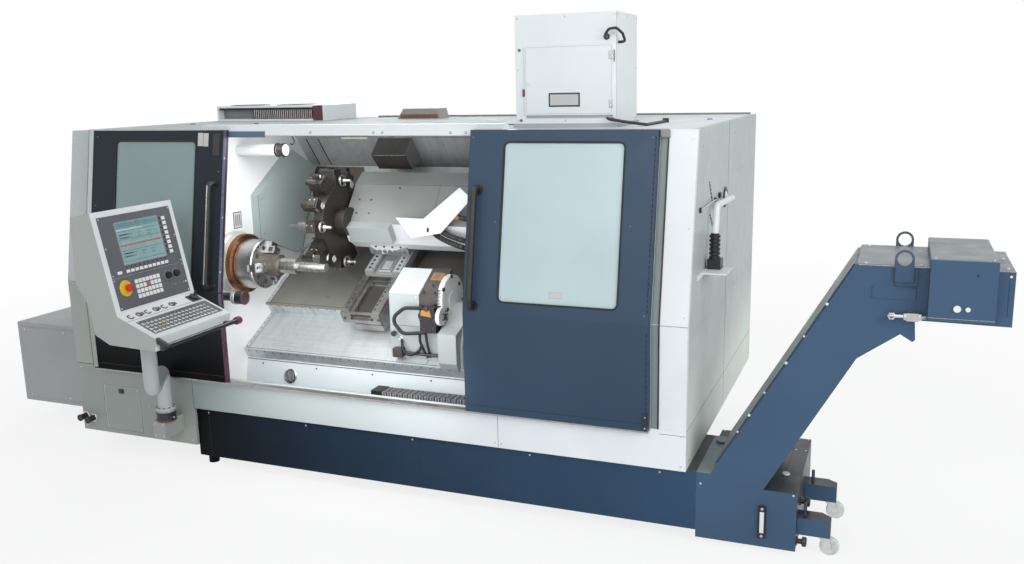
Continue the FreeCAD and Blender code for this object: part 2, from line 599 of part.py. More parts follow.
def make_carriage():
    slope = math.tan(math.radians(LOWER_ANGLE))

    def rest(y):
        """Height of the lower slope with a running gap."""
        return LOWER_NOSE_Z + (y - LOWER_NOSE_Y) * slope + RUNNING_GAP / math.cos(math.radians(LOWER_ANGLE))

    front = 450.0
    back = 648.0
    main = prism_x([(front, rest(front)), (front, 1078), (back, 1193), (back, rest(back))],
                   CARRIAGE_X, CARRIAGE_X + 200)
    foot = prism_x([(350, 875), (350, 700), (375, 662), (400, rest(400)), (back, rest(back)),
                    (back, 1010), (600, 1010), (430, 900)], CARRIAGE_X + 364, CARRIAGE_X + 480)
    low = prism_x([(front, rest(front)), (front, 760), (back, 866), (back, rest(back))],
                  CARRIAGE_X + 200, CARRIAGE_X + 364)
    stand = prism_x([(front, 760), (front, 850), (back, 960), (back, 866)],
                    CARRIAGE_X + 200, CARRIAGE_X + 328)
    plate = prism_x([(404, rest(404)), (404, 800), (560, 1150), (back, 1185), (back, rest(back))],
                    CARRIAGE_X + 480, CARRIAGE_X + 495)
    pipe = cylinder(CARRIAGE_X + 90, 425, 720, 10, 276, X_AXIS)
    valve = box(CARRIAGE_X + 35, CARRIAGE_X + 95, 402, 449, 694, 748)
    link = box(CARRIAGE_X + 45, CARRIAGE_X + 85, 449, front, 700, 742)
    keep("carriage_body", joined([main, foot, low, stand, plate, pipe, valve, link]))

    bar = prism_x([(front, 1063), (650, 1200), (650, 1160), (front, 1023)],
                  CARRIAGE_X + 200, CARRIAGE_X + 325)
    neck = prism_x([(front, 850), (front, 1023), (back, 1158), (back, 960)],
                   CARRIAGE_X + 200, CARRIAGE_X + 300)
    web = prism_x([(front + 60, 900), (front + 10, 1028), (back, 1158), (back, 962)],
                  CARRIAGE_X + 300, CARRIAGE_X + 330)
    disc = cylinder(CARRIAGE_X + 330, 575, 1030, 150, 32, X_AXIS)
    arm_x = CARRIAGE_X + 222
    arm = prism_y([(arm_x + 29, 1010), (arm_x + 105, 1014), (arm_x + 124, 940), (arm_x + 112, 866),
                   (arm_x + 33, 862), (arm_x, 968)], 385, front)
    steel = cylinder(CARRIAGE_X + 346, 415, 962, 52, 24, X_AXIS)
    pin = cylinder(CARRIAGE_X + 300, 415, 962, 18, 50, X_AXIS)
    head = joined([bar, neck, web, disc, arm, steel, pin])
    hose = rod([(CARRIAGE_X + 230, 434, 1000), (CARRIAGE_X + 130, 395, 1004),
                (CARRIAGE_X + 45, 380, 935), (CARRIAGE_X + 120, 380, 850),
                (CARRIAGE_X + 262, 400, 862)], 11, 48)
    keep("carriage_head", [head, hose.cut(head)])


def make_chain():
    links = []
    base = APRON_BASE + 130
    for index in range(CHAIN_LINKS):
        x = CHAIN_X + index * CHAIN_PITCH
        links.append(box(x, x + CHAIN_PITCH - 6, 150, 240, base, base + 56))
    end = CHAIN_X + CHAIN_LINKS * CHAIN_PITCH
    core = box(CHAIN_X, end - 6, 158, 232, base + 5, base + 51)
    rise = 33 / (LIP_TOP - LIP_KNEE)
    shelf = prism_x([(240, base), (LIP_Y + (base - LIP_KNEE) * rise, base),
                     (LIP_Y + (base + 12 - LIP_KNEE) * rise, base + 12), (240, base + 12)],
                    end - 500, end - 100)
    keep("drag_chain", joined([core, shelf] + links))


# ---------------------------------------------------------------- roof units
def make_roof_units():
    front = MIST_Y
    base = CABINET_HEIGHT + 20
    top = CABINET_HEIGHT + MIST_HEIGHT
    body = box(MIST_X, MIST_X + MIST_LENGTH, front, front + MIST_DEPTH, base, top)
    cavity = box(MIST_X + MIST_WALL, MIST_X + MIST_LENGTH - MIST_WALL, front + 8,
                 front + MIST_DEPTH - MIST_WALL, base + MIST_WALL, top - MIST_WALL)
    mouth = box(MIST_X + 80, MIST_X + MIST_LENGTH - 65, front, front + 8, base + 65, top - 180)
    body = body.cut(cavity).cut(mouth)
    plinth = box(MIST_X - 12, MIST_X + MIST_LENGTH + 12, front - 10, front + MIST_DEPTH + 10,
                 CABINET_HEIGHT, base)
    right = MIST_X + MIST_LENGTH
    cable = rod([(right - 50, front, top - 124), (right - 50, front - 40, top - 120),
                 (right - 26, front - 46, top - 88), (right + 12, front - 40, top - 84),
                 (right + 38, front - 16, top - 112), (right + 40, front + 26, top - 150),
                 (right, front + 40, top - 152)], 7, 20)
    roof_top = CABINET_HEIGHT + 8 + RUNNING_GAP
    tail = rod([(right - 42, front, base + 28), (right - 42, front - 44, base + 26),
                (right + 60, front - 30, base + 8), (right + 130, front + 110, roof_top),
                (right + 137, front + 330, roof_top), (right + 137, front + 520, roof_top)], 8, 34)
    gland = cylinder(right + 137, front + 530, CABINET_HEIGHT, 18, 24, Z_AXIS)
    keep("mist_collector", [joined([body, plinth]), cable, joined([tail, gland])])
    door_plate = box(MIST_X + 53, MIST_X + MIST_LENGTH - 15, front - 8, front, base + 43, top - 158)
    lock = cylinder(MIST_X + 80, front - 14, base + 210, 9, 6, Y_AXIS)
    keep("mist_collector_door", joined([door_plate, lock]))

    y0 = COOLER_Y
    outer = box(COOLER_X, COOLER_X + COOLER_LENGTH, y0, y0 + COOLER_DEPTH,
                CABINET_HEIGHT, CABINET_HEIGHT + COOLER_HEIGHT)
    hollow = box(COOLER_X + 14, COOLER_X + COOLER_LENGTH - 14, y0, y0 + COOLER_RECESS,
                 CABINET_HEIGHT + 14, CABINET_HEIGHT + COOLER_HEIGHT - 14)
    cooler = [outer.cut(hollow)]
    for index in range(16):
        x = COOLER_X + 0.33 * COOLER_LENGTH + index * 0.036 * COOLER_LENGTH
        cooler.append(box(x, x + 10, y0 + 20, y0 + COOLER_RECESS,
                          CABINET_HEIGHT + 14, CABINET_HEIGHT + COOLER_HEIGHT - 14))
    keep("heat_exchanger", joined(cooler))

    vent = prism_y([(VENT_X, CABINET_HEIGHT), (VENT_X + 340, CABINET_HEIGHT),
                    (VENT_X + 322, CABINET_HEIGHT + 70), (VENT_X + 50, CABINET_HEIGHT + 70)],
                   CABINET_DEPTH - 362, CABINET_DEPTH - 212)
    keep("roof_vent", vent)


def make_coolant_gun():
    side = CABINET_LENGTH
    pipe = rod([(side, GUN_Y + 535, GUN_TOP), (side + 45, GUN_Y + 535, GUN_TOP),
                (side + 45, GUN_Y + 45, GUN_TOP + 16), (side + 45, GUN_Y, GUN_TOP - 126)], 17, 36)
    flange = cylinder(side, GUN_Y + 535, GUN_TOP, 34, 8, X_AXIS)
    shapes = [pipe, flange]
    z = GUN_TOP - 122
    for index in range(6):
        shapes.append(cylinder(side + 45, GUN_Y - 1, z - 22, 28, 13, Z_AXIS))
        shapes.append(cylinder(side + 45, GUN_Y - 1, z - 9, 21, 9, Z_AXIS))
        z = z - 22
    shoe = box(side + 14, side + 82, GUN_Y - 40, GUN_Y + 42, z - 50, z)
    back = box(side, side + 5, GUN_Y - 230, GUN_Y + 60, z - 76, z - 50)
    tray = box(side, side + 130, GUN_Y - 140, GUN_Y + 60, z - 58, z - 50)
    keep("coolant_gun", joined(shapes + [shoe, back, tray]))


# ---------------------------------------------------------------- conveyor
def make_conveyor():
    front = TROUGH_FRONT
    back = TROUGH_FRONT + TROUGH_DEPTH
    wall = TROUGH_WALL
    trough = box(LEFT_BASE_LENGTH, TANK_X, front, back, TROUGH_BASE, APRON_BASE)
    hollow = box(LEFT_BASE_LENGTH + wall, TANK_X - wall, front + wall, back - wall,
                 TROUGH_BASE + wall, APRON_BASE)
    lid = box(CABINET_LENGTH - PANEL, TANK_X, front, back, APRON_BASE - wall, APRON_BASE)
    ground = cylinder(LEFT_BASE_LENGTH + 34, 102, 0, 32, TROUGH_BASE, Z_AXIS)
    ground_back = cylinder(LEFT_BASE_LENGTH + 34, back - 70, 0, 32, TROUGH_BASE, Z_AXIS)
    keep("conveyor_trough", [joined([trough.cut(hollow), lid, ground, ground_back])])

    tank = box(TANK_X, TANK_X + TANK_LENGTH, front, front + TANK_DEPTH, TANK_BASE, TANK_TOP)
    shapes = [tank]
    end = TANK_X + TANK_LENGTH
    for y in (CASTER_FRONT, CASTER_REAR):
        bracket = prism_z([(end, y - 50), (end + 156, y - 50), (end + 156, y + 10), (end + 110, y + 50),
                           (end, y + 50)], 2 * WHEEL_RADIUS + 12, BRACKET_TOP)
        inside = box(end + 8, end + 148, y - 42, y + 60, 2 * WHEEL_RADIUS + 20,
                     BRACKET_TOP - 8)
        shapes.append(bracket.cut(inside))
        shapes.append(cylinder(end + 34, y, BRACKET_TOP, 8, 60, Z_AXIS))
    gauge = box(TANK_X + 310, TANK_X + 340, front - 12, front, 84, 242)
    keep("coolant_tank", joined(shapes + [gauge]))

    slope = INCLINE_RUN / (HEAD_TOP - APRON_BASE)
    top_start = TANK_X + 71
    outline = [(TANK_X, TANK_TOP), (TANK_X, APRON_BASE), (top_start, APRON_BASE),
               (top_start + INCLINE_RUN, HEAD_TOP), (DRIVE_X, HEAD_TOP), (DRIVE_X, DRIVE_BASE),
               (DRIVE_X + DRIVE_LENGTH, DRIVE_BASE), (DRIVE_X + DRIVE_LENGTH, HEAD_TOP - 8),
               (HEAD_END, HEAD_TOP - 8), (HEAD_END, DRIVE_BASE - 24), (DRIVE_X - 47, DRIVE_BASE - 20),
               (DRIVE_X - 41, HEAD_TOP - 332), (DRIVE_X - 52, HEAD_TOP - 343),
               (DRIVE_X - 104, HEAD_TOP - 311), (DRIVE_X - 281, HEAD_TOP - 439),
               (DRIVE_X - 281 - (HEAD_TOP - 439 - TANK_TOP) * 0.563, TANK_TOP)]
    body = prism_y(outline, front, back)
    strip = prism_y([(top_start + 40 * slope, APRON_BASE + 40),
                     (top_start + 40 * slope - 9, APRON_BASE + 45),
                     (top_start + INCLINE_RUN - 12 * slope - 9, HEAD_TOP - 7),
                     (top_start + INCLINE_RUN - 12 * slope, HEAD_TOP - 12)], front + 40, back - 40)
    lugs = []
    for y in (front - LUG_THICK, back):
        eye_z = HEAD_TOP + 31
        lug = box(LUG_X, LUG_X + LUG_WIDTH, y, y + LUG_THICK, HEAD_TOP - 73, eye_z)
        crown = cylinder(LUG_X + LUG_WIDTH / 2, y, eye_z, LUG_WIDTH / 2, LUG_THICK, Y_AXIS)
        eye = cylinder(LUG_X + LUG_WIDTH / 2, y, eye_z, 30, LUG_THICK, Y_AXIS)
        lugs.append(joined([lug, crown]).cut(eye))
    keep("lifting_lugs", lugs)
    shapes = [body, strip]
    shapes.append(box(DRIVE_X - 230, DRIVE_X - 49, front - 3, front, HEAD_TOP - 152, HEAD_TOP - 97))
    shapes.append(cylinder(DRIVE_X - 152, front - 22, DRIVE_BASE, 9, 152, X_AXIS))
    shapes.append(box(DRIVE_X - 83, DRIVE_X - 33, front - 36, front, DRIVE_BASE - 18, DRIVE_BASE + 18))
    shapes.append(cylinder(TANK_X + 54, back - 90, APRON_BASE, 32, 14, Z_AXIS))
    keep("conveyor_incline", joined(shapes))

    drive = box(DRIVE_X, DRIVE_X + DRIVE_LENGTH, front - 76, back, DRIVE_BASE, DRIVE_BASE + DRIVE_HEIGHT)
    drive_top = DRIVE_BASE + DRIVE_HEIGHT
    drive = drive.makeFillet(8, [edge for edge in drive.Edges if edge.CenterOfMass.z > drive_top - 1])
    buttons = [cylinder(DRIVE_X + offset, front - 84, DRIVE_BASE + 60, radius, 8, Y_AXIS)
               for offset, radius in ((114, 15), (156, 10))]
    keep("conveyor_drive", joined([drive] + buttons))

    for name, y in (("front", CASTER_FRONT), ("rear", CASTER_REAR)):
        stem_x = end + 118
        wheel_x = stem_x + CASTER_TRAIL
        top = 2 * WHEEL_RADIUS + 12
        plate = cylinder(stem_x, y, top - 6, 38, 6, Z_AXIS)
        cheeks = []
        for side in (-WHEEL_WIDTH / 2 - 6, WHEEL_WIDTH / 2 + 2):
            cheeks.append(prism_y([(stem_x - 26, top), (stem_x + 30, top), (wheel_x + 14, WHEEL_RADIUS - 8),
                                   (wheel_x - 12, WHEEL_RADIUS - 12)], y + side, y + side + 4))
        keep("caster_fork_" + name, joined([plate] + cheeks))
        wheel = cylinder(wheel_x, y - WHEEL_WIDTH / 2, WHEEL_RADIUS, WHEEL_RADIUS, WHEEL_WIDTH, Y_AXIS)
        wheel = wheel.makeFillet(5, [edge for edge in wheel.Edges
                                     if edge.Curve.TypeId == "Part::GeomCircle"])
        axle = cylinder(wheel_x, y - WHEEL_WIDTH / 2 - 2, WHEEL_RADIUS, 7, WHEEL_WIDTH + 4, Y_AXIS)
        keep("caster_wheel_" + name, joined([wheel, axle]))


# ---------------------------------------------------------------- pendant
def make_pendant():
    ring = cylinder(COLUMN_X, COLUMN_Y, 330, ARM_RADIUS + 12, 65, Z_AXIS)
    bracket = box(COLUMN_X - 58, COLUMN_X + 28, COLUMN_Y - 54, 0, 222, 330)
    keep("pendant_bracket", joined([bracket, ring]))

    arm = rod([(COLUMN_X, COLUMN_Y, 395), (COLUMN_X, COLUMN_Y, ARM_HEIGHT), (HEAD_X, HEAD_Y, ARM_HEIGHT),
               (HEAD_X, HEAD_Y, 950)], ARM_RADIUS, ARM_RADIUS * 1.6)
    flange = cylinder(COLUMN_X, COLUMN_Y, 395, ARM_RADIUS + 16, 16, Z_AXIS)
    keep("pendant_arm", joined([arm, flange]))

    right = PENDANT_LEFT + PENDANT_WIDTH
    shell = prism_y([(887, 1655), (1018, 1679), (1132, 1145), (1369, 1048), (1362, 978), (1063, 989),
                     (970, 1036), (940, 1206), (875, 1308)], PENDANT_LEFT, right)
    collar = cylinder(HEAD_X, HEAD_Y, 950, ARM_RADIUS + 14, 80, Z_AXIS)
    grip = cylinder(1402, PENDANT_LEFT + 10, 1000, 13, PENDANT_WIDTH + 26, Y_AXIS)
    grip_feet = [box(1360, 1402, y, y + 24, 991, 1009) for y in (PENDANT_LEFT + 40, right - 60)]
    face_up = point(-114, 0, 534).normalize()
    face_origin = point(1132, PENDANT_LEFT, 1145)
    shelf_up = point(-237, 0, 97).normalize()
    shelf_origin = point(1369, PENDANT_LEFT, 1048)

    def on_face(shape):
        return placed(shape, face_origin, Y_AXIS, face_up)

    def on_shelf(shape):
        return placed(shape, shelf_origin, Y_AXIS, shelf_up)

    recess = on_face(box(35, 565, 22, 515, -4, 10))
    plate_recess = on_shelf(box(40, 575, 36, 166, -3, 10))
    screen_recess = on_face(box(140, 458, 248, 474, -2, 10))
    housing = joined([shell, collar]).cut(recess).cut(plate_recess)
    keep("pendant_housing", [joined([housing, grip] + grip_feet)])

    lower = on_face(box(35, 565, 22, 190, -4, 2))
    upper = on_face(box(35, 565, 193, 515, -4, 2)).cut(screen_recess)
    screen = on_face(box(140, 458, 248, 474, -2, 1))
    keys = []
    for row in range(4):
        for column in range(7):
            u = 178 + column * 27
            v = 60 + row * 27
            keys.append(on_face(box(u, u + 21, v, v + 21, 2, 5)))
    for row in range(8):
        v = 256 + row * 27
        keys.append(on_face(box(486, 512, v, v + 19, 2, 4)))
    for column in range(10):
        u = 142 + column * 32
        keys.append(on_face(box(u, u + 24, 206, 222, 2, 4)))
    stem_bore = cylinder(108, 130, 6, 12.5, 6, Z_AXIS)
    collar_ring = on_face(cylinder(108, 130, 2, 27, 10, Z_AXIS).cut(stem_bore))
    board = on_shelf(box(40, 575, 36, 166, -3, 3))
    for row in range(4):
        for column in range(17):
            u = 58 + column * 29.5
            v = 50 + row * 27
            keys.append(on_shelf(box(u, u + 23, v, v + 21, 3, 6)))
    for column in range(6):
        u = 60 + column * 62
        keys.append(on_shelf(box(u, u + 30, 212, 232, 0, 4)))
    keep("pendant_panel", [lower, upper, screen, board, collar_ring] + keys)

    stem = on_face(cylinder(108, 130, 10, 12, 10.3, Z_AXIS))
    cap = on_face(cylinder(108, 130, 20.3, 20, 14, Z_AXIS))
    keep("emergency_stop", joined([stem, cap]))
    for name, u in (("feed_knob", 425), ("spindle_knob", 488)):
        knob = on_face(cylinder(u, 140, 2, 17, 18, Z_AXIS))
        rim = on_face(cylinder(u, 140, 2, 22, 4, Z_AXIS))
        pointer = on_face(box(u - 2.5, u + 2.5, 140, 156, 20, 22))
        keep(name, joined([knob, rim, pointer]))
    wheel = on_shelf(cylinder(540, 216, 0, 26, 16, Z_AXIS))
    peg = on_shelf(cylinder(553, 226, 16, 6, 22, Z_AXIS))
    keep("handwheel", joined([wheel, peg]))


def save():
    """Move each piece to the part's origin and write it."""
    for name, solids in PARTS.items():
        moved = []
        for solid in solids:
            copy = solid.copy()
            copy.translate(point(-X_MIDDLE, -Y_MIDDLE, 0))
            moved.append(copy)
        shape = moved[0] if len(moved) == 1 else Part.makeCompound(moved)
        shape.exportStep("parts/%s.step" % name)


make_cabinet()
make_doors()
make_work_zone()
make_chuck()
make_slides()
make_carriage()
make_chain()
make_roof_units()
make_coolant_gun()
make_conveyor()
make_pendant()
save()
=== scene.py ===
# %% [markdown]
# # A turning lathe, dressed for its picture
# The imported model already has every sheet, slide and roller in its true place.
# This script leaves those solids alone and does what a paint shop and a fitter would do:
# it coats each part, then adds gaskets, screws, keys, hoses and small fittings.
# Lengths in the tables below are machine millimetres, measured from the cabinet's left
# front corner, because that is how the workshop drawing of the solids gives them.

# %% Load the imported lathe
import math

import bmesh
import bpy
from mathutils import Matrix, Vector


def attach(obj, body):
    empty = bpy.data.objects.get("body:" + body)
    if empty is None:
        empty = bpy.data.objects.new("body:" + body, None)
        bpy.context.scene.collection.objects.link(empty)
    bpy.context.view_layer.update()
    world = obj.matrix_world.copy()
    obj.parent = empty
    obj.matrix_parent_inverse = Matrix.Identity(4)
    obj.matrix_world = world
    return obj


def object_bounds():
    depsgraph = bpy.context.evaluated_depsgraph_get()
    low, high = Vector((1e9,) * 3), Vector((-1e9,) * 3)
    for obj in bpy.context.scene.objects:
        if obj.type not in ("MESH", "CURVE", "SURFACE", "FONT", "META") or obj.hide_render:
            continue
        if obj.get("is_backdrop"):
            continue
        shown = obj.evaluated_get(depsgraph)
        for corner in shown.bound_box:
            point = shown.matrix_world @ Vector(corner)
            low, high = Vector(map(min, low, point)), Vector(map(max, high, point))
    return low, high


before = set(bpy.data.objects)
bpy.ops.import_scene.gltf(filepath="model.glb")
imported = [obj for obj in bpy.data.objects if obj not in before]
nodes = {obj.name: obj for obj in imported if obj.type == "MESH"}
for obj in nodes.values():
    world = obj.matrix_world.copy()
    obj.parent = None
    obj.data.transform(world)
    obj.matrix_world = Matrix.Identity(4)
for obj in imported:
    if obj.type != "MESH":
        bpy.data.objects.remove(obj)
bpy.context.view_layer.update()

# %% [markdown]
# ## From drawing millimetres to the scene
# The drawing starts at the cabinet's corner and the scene starts at the middle of the
# footprint. One small function turns drawing numbers into scene metres, so that each
# table can be checked against the drawing.
# The cabinet's upper front leans back from a crease, the bed slopes, and the operator
# panel has two tilted faces. A `Plane` holds such a face: a start point, a direction to
# the right and a direction up the face. Details are then placed by right, up and out.

# %% Places on the machine
MM = 0.001
MIDDLE_X, MIDDLE_Y = 2234.5, 677.5
LENGTH, DEPTH, HEIGHT = 3935, 2112, 2049
CREASE = 1119
LEAN_BACK = (0, 172, 930)
BED_SLOPE, LOWER_SLOPE = 30.5, 28.14
SPINDLE = (380, 1220)


def at(x, y, z):
    """A point of the drawing, in scene metres."""
    return Vector(((x - MIDDLE_X) / 1000, (y - MIDDLE_Y) / 1000, z / 1000))


class Plane:
    """A flat face of the machine: start point, right, up and out."""

    def __init__(self, start, right, up):
        self.start = Vector(start)
        self.right = Vector(right).normalized()
        self.up = Vector(up).normalized()
        self.out = self.right.cross(self.up)

    def at(self, right, up, out):
        spot = self.start + self.right * right + self.up * up + self.out * out
        return at(*spot)

    def matrix(self, right=0, up=0, out=0):
        turn = Matrix((self.right, self.up, self.out)).transposed()
        return Matrix.Translation(self.at(right, up, out)) @ turn.to_4x4()


def facing_front(y, x=0, z=0):
    """An upright plane that looks at the person before the machine."""
    return Plane((x, y, z), (1, 0, 0), (0, 0, 1))


def facing_right(x, y=0, z=0):
    """An upright plane that looks to the machine's right end."""
    return Plane((x, y, z), (0, 1, 0), (0, 0, 1))


def facing_left(x, y=0, z=0):
    """An upright plane that looks to the machine's left end."""
    return Plane((x, y, z), (0, -1, 0), (0, 0, 1))


def facing_up(z):
    """A level plane that looks up."""
    return Plane((0, 0, z), (1, 0, 0), (0, 1, 0))


def slope(degrees):
    """The way up a slope that rises towards the back."""
    return 0, math.cos(math.radians(degrees)), math.sin(math.radians(degrees))


def around(centre, radius, degrees):
    """A spot on a circle, turned from the right towards up."""
    way = math.radians(degrees)
    return centre[0] + radius * math.cos(way), centre[1] + radius * math.sin(way)


FRONT = facing_front(0)
LEAN = Plane((0, 0, CREASE), (1, 0, 0), LEAN_BACK)
RIGHT_SIDE = facing_right(LENGTH)
LEFT_SIDE = facing_left(0, DEPTH)
BACK = Plane((LENGTH, DEPTH, 0), (-1, 0, 0), (0, 0, 1))
ROOF = facing_up(HEIGHT)
BED = Plane((0, 658, 894), (1, 0, 0), slope(BED_SLOPE))
LOWER_BED = Plane((0, 400, 656), (1, 0, 0), slope(LOWER_SLOPE))
PANEL_FACE = Plane((1132, -757, 1145), (0, 1, 0), (-114, 0, 534))
PANEL_SHELF = Plane((1369, -757, 1048), (0, 1, 0), (-237, 0, 97))
ALONG_X = facing_right(0)
UPWARD = facing_up(0)
print("upper front leans back", round(math.degrees(math.atan2(LEAN_BACK[1], LEAN_BACK[2])), 1), "degrees")

# %% [markdown]
# ## The camera
# The photograph was taken from the right of the middle, a little above the roof line,
# with a normal lens. The turn, tilt and focal length were worked out from the cabinet's
# straight edges, so that every corner falls where the photograph has it.

# %% Camera
YAW, TILT, ROLL = map(math.radians, (-22.14959634, 11.7265146, -1.24353308))
CAMERA_SPOT = (2.60458, -5.12625, 2.28425)
SENSOR, LENS, FAR = 36, 33.712, 100
forward = Vector((math.sin(YAW) * math.cos(TILT), math.cos(YAW) * math.cos(TILT), -math.sin(TILT)))
level = Vector((math.cos(YAW), -math.sin(YAW), 0))
upright = level.cross(forward)
side = level * math.cos(ROLL) + upright * math.sin(ROLL)
top = upright * math.cos(ROLL) - level * math.sin(ROLL)
camera = bpy.data.objects.new("camera", bpy.data.cameras.new("camera"))
scene = bpy.context.scene
scene.collection.objects.link(camera)
camera.data.sensor_width = SENSOR
camera.data.lens = LENS
camera.data.clip_end = FAR
view = Matrix((side, top, -forward)).transposed().to_4x4()
camera.matrix_world = Matrix.Translation(CAMERA_SPOT) @ view
scene.camera = camera
scene.view_settings.view_transform = "Standard"
print("lens", camera.data.lens, "mm")

# %% [markdown]
# ## Node helpers
# The white ground, the floor and the finishes are all small node trees. Node by node they
# are long to write, so a few short functions add a node, fill its inputs and do sums.

# %% Node helpers
def add(tree, kind, **settings):
    """Add a node and set its properties."""
    node = tree.nodes.new("ShaderNode" + kind)
    for key, value in settings.items():
        setattr(node, key, value)
    return node


def put(tree, socket, value):
    """Fill one input, from a number or from another node's output."""
    if isinstance(value, bpy.types.NodeSocket):
        tree.links.new(value, socket)
    else:
        socket.default_value = value


def feed(tree, node, **values):
    """Fill a node's inputs; n0, n1 and so on stand for the first, second and later ones."""
    for key, value in values.items():
        numbered = key[0] == "n" and key[1:].isdigit()
        put(tree, node.inputs[int(key[1:]) if numbered else key.replace("_", " ")], value)
    return node


def reckon(tree, operation, first, second, kind="Math"):
    """One sum with two values."""
    return feed(tree, add(tree, kind, operation=operation), n0=first, n1=second).outputs[0]


def times(tree, first, second):
    """Multiply two values."""
    return reckon(tree, "MULTIPLY", first, second)


def watched(tree):
    """One for rays of the camera, of mirror-like faces and of see-through ones."""
    rays = add(tree, "LightPath").outputs
    either = reckon(tree, "MAXIMUM", rays["Is Camera Ray"], rays["Is Glossy Ray"])
    return reckon(tree, "MAXIMUM", either, rays["Is Transmission Ray"])


def group(name, inputs, outputs):
    """Start a node group with named sockets."""
    tree = bpy.data.node_groups.new(name, "ShaderNodeTree")
    for label, kind, value in inputs:
        socket = tree.interface.new_socket(label, in_out="INPUT", socket_type="NodeSocket" + kind)
        if value is not None:
            socket.default_value = value
    for label, kind in outputs:
        tree.interface.new_socket(label, in_out="OUTPUT", socket_type="NodeSocket" + kind)
    return tree, tree.nodes.new("NodeGroupInput").outputs, tree.nodes.new("NodeGroupOutput")


def noise(tree, position, scale, detail=2.0):
    """A noise value over the surface."""
    return feed(tree, add(tree, "TexNoise"), Vector=position, Scale=scale, Detail=detail).outputs["Fac"]


def spread(tree, value, low, high, to_low=0.0, to_high=1.0):
    """Stretch a range of values to another range."""
    node = feed(tree, add(tree, "MapRange"), Value=value, From_Min=low, From_Max=high,
                To_Min=to_low, To_Max=to_high)
    return node.outputs[0]


def blend_colour(tree, amount, first, second):
    """Mix two colours."""
    return feed(tree, add(tree, "Mix", data_type="RGBA"), Factor=amount, n6=first, n7=second).outputs[2]


# %% [markdown]
# ## Light
# A cut-out product picture has a white ground with hardly any shadow. Rays from the
# camera, and mirror-like or see-through ones, meet plain white, while the soft light that
# falls on the machine comes from a weaker world and four large soft boxes. The strongest
# stands to the right, as in the photograph, where the right end is bright and the left
# end falls off. The work zone is a deep box, where the real machine has a lamp tube, so it
# has three small lamps: under the ceiling, beside the tube, and a wide one in the doorway.

# %% World and soft boxes
world = bpy.data.worlds.new("studio")
scene.world = world
world.use_nodes = True
sky = world.node_tree
sky.nodes.clear()
soft = feed(sky, add(sky, "Background"), Color=(0.93, 0.97, 1.0, 1), Strength=0.42)
white = feed(sky, add(sky, "Background"), Color=(1, 1, 1, 1), Strength=1.0)
mix = feed(sky, add(sky, "MixShader"), n0=watched(sky), n1=soft.outputs[0], n2=white.outputs[0])
feed(sky, add(sky, "OutputWorld"), Surface=mix.outputs[0])


def soft_box(name, place, target, width, height, watts):
    """A flat lamp that looks at a point."""
    lamp = bpy.data.objects.new(name, bpy.data.lights.new(name, "AREA"))
    scene.collection.objects.link(lamp)
    lamp.data.shape = "RECTANGLE"
    lamp.data.size = width
    lamp.data.size_y = height
    lamp.data.energy = watts
    lamp.location = place
    lamp.rotation_euler = (Vector(target) - Vector(place)).to_track_quat("-Z", "Y").to_euler()


soft_box("right_box", (7.5, -4.5, 4.5), (0.8, 0.0, 1.0), 4.0, 4.0, 225)
soft_box("front_box", (1.0, -8.0, 5.0), (0.0, 0.0, 1.2), 4.0, 4.0, 165)
soft_box("top_box", (0.5, 0.5, 7.5), (0.0, 0.0, 1.0), 5.0, 5.0, 70)
soft_box("rear_box", (-4.0, 7.5, 4.5), (0.0, 0.5, 1.0), 4.0, 4.0, 150)
soft_box("ceiling_lamp", at(1950, 330, 1995), at(1950, 700, 700), 1.5, 0.2, 2.6)
soft_box("wall_lamp", at(1480, 420, 1930), at(1000, 620, 1250), 0.5, 0.3, 2.4)
soft_box("doorway_lamp", at(1990, -70, 1120), at(1950, 900, 760), 1.4, 1.1, 9)

# %% [markdown]
# ## Effects that many finishes share
# Painted sheet, ground steel and moulded plastic all show the same few effects: rubbed
# edges, dust on the tops, a fine grain and slow changes of tone. Each effect is a node
# group with named inputs and outputs, made once and used with different values.
# The edge group compares the true surface with a slightly rounded one: where the two
# directions differ there is an edge, and the rounded direction also softens it.

# %% Rubbed and softened edges
PLACE = ("Position", "Vector", None)
tree, ins, outs = group("rubbed edges", [("Radius", "Float", 0.003), ("Wear", "Float", 0.5), PLACE],
                        [("Mask", "Float"), ("Normal", "Vector")])
rounded = feed(tree, add(tree, "Bevel", samples=3), Radius=ins["Radius"]).outputs[0]
true_face = add(tree, "NewGeometry").outputs["Normal"]
agree = feed(tree, add(tree, "VectorMath", operation="DOT_PRODUCT"), n0=rounded, n1=true_face)
edge = spread(tree, agree.outputs["Value"], 0.995, 0.90)
patchy = spread(tree, noise(tree, ins["Position"], 38.0, 4.0), 0.42, 0.62)
feed(tree, outs, Mask=times(tree, times(tree, edge, patchy), ins["Wear"]), Normal=rounded)

# %% Dust that settles on faces that look up
tree, ins, outs = group("settled dust", [("Amount", "Float", 0.3), PLACE], [("Mask", "Float")])
facing = feed(tree, add(tree, "SeparateXYZ"), n0=add(tree, "NewGeometry").outputs["Normal"])
upward = spread(tree, facing.outputs["Z"], 0.35, 1.0)
cloud = spread(tree, noise(tree, ins["Position"], 6.0, 5.0), 0.3, 0.75)
feed(tree, outs, Mask=times(tree, times(tree, upward, cloud), ins["Amount"]))

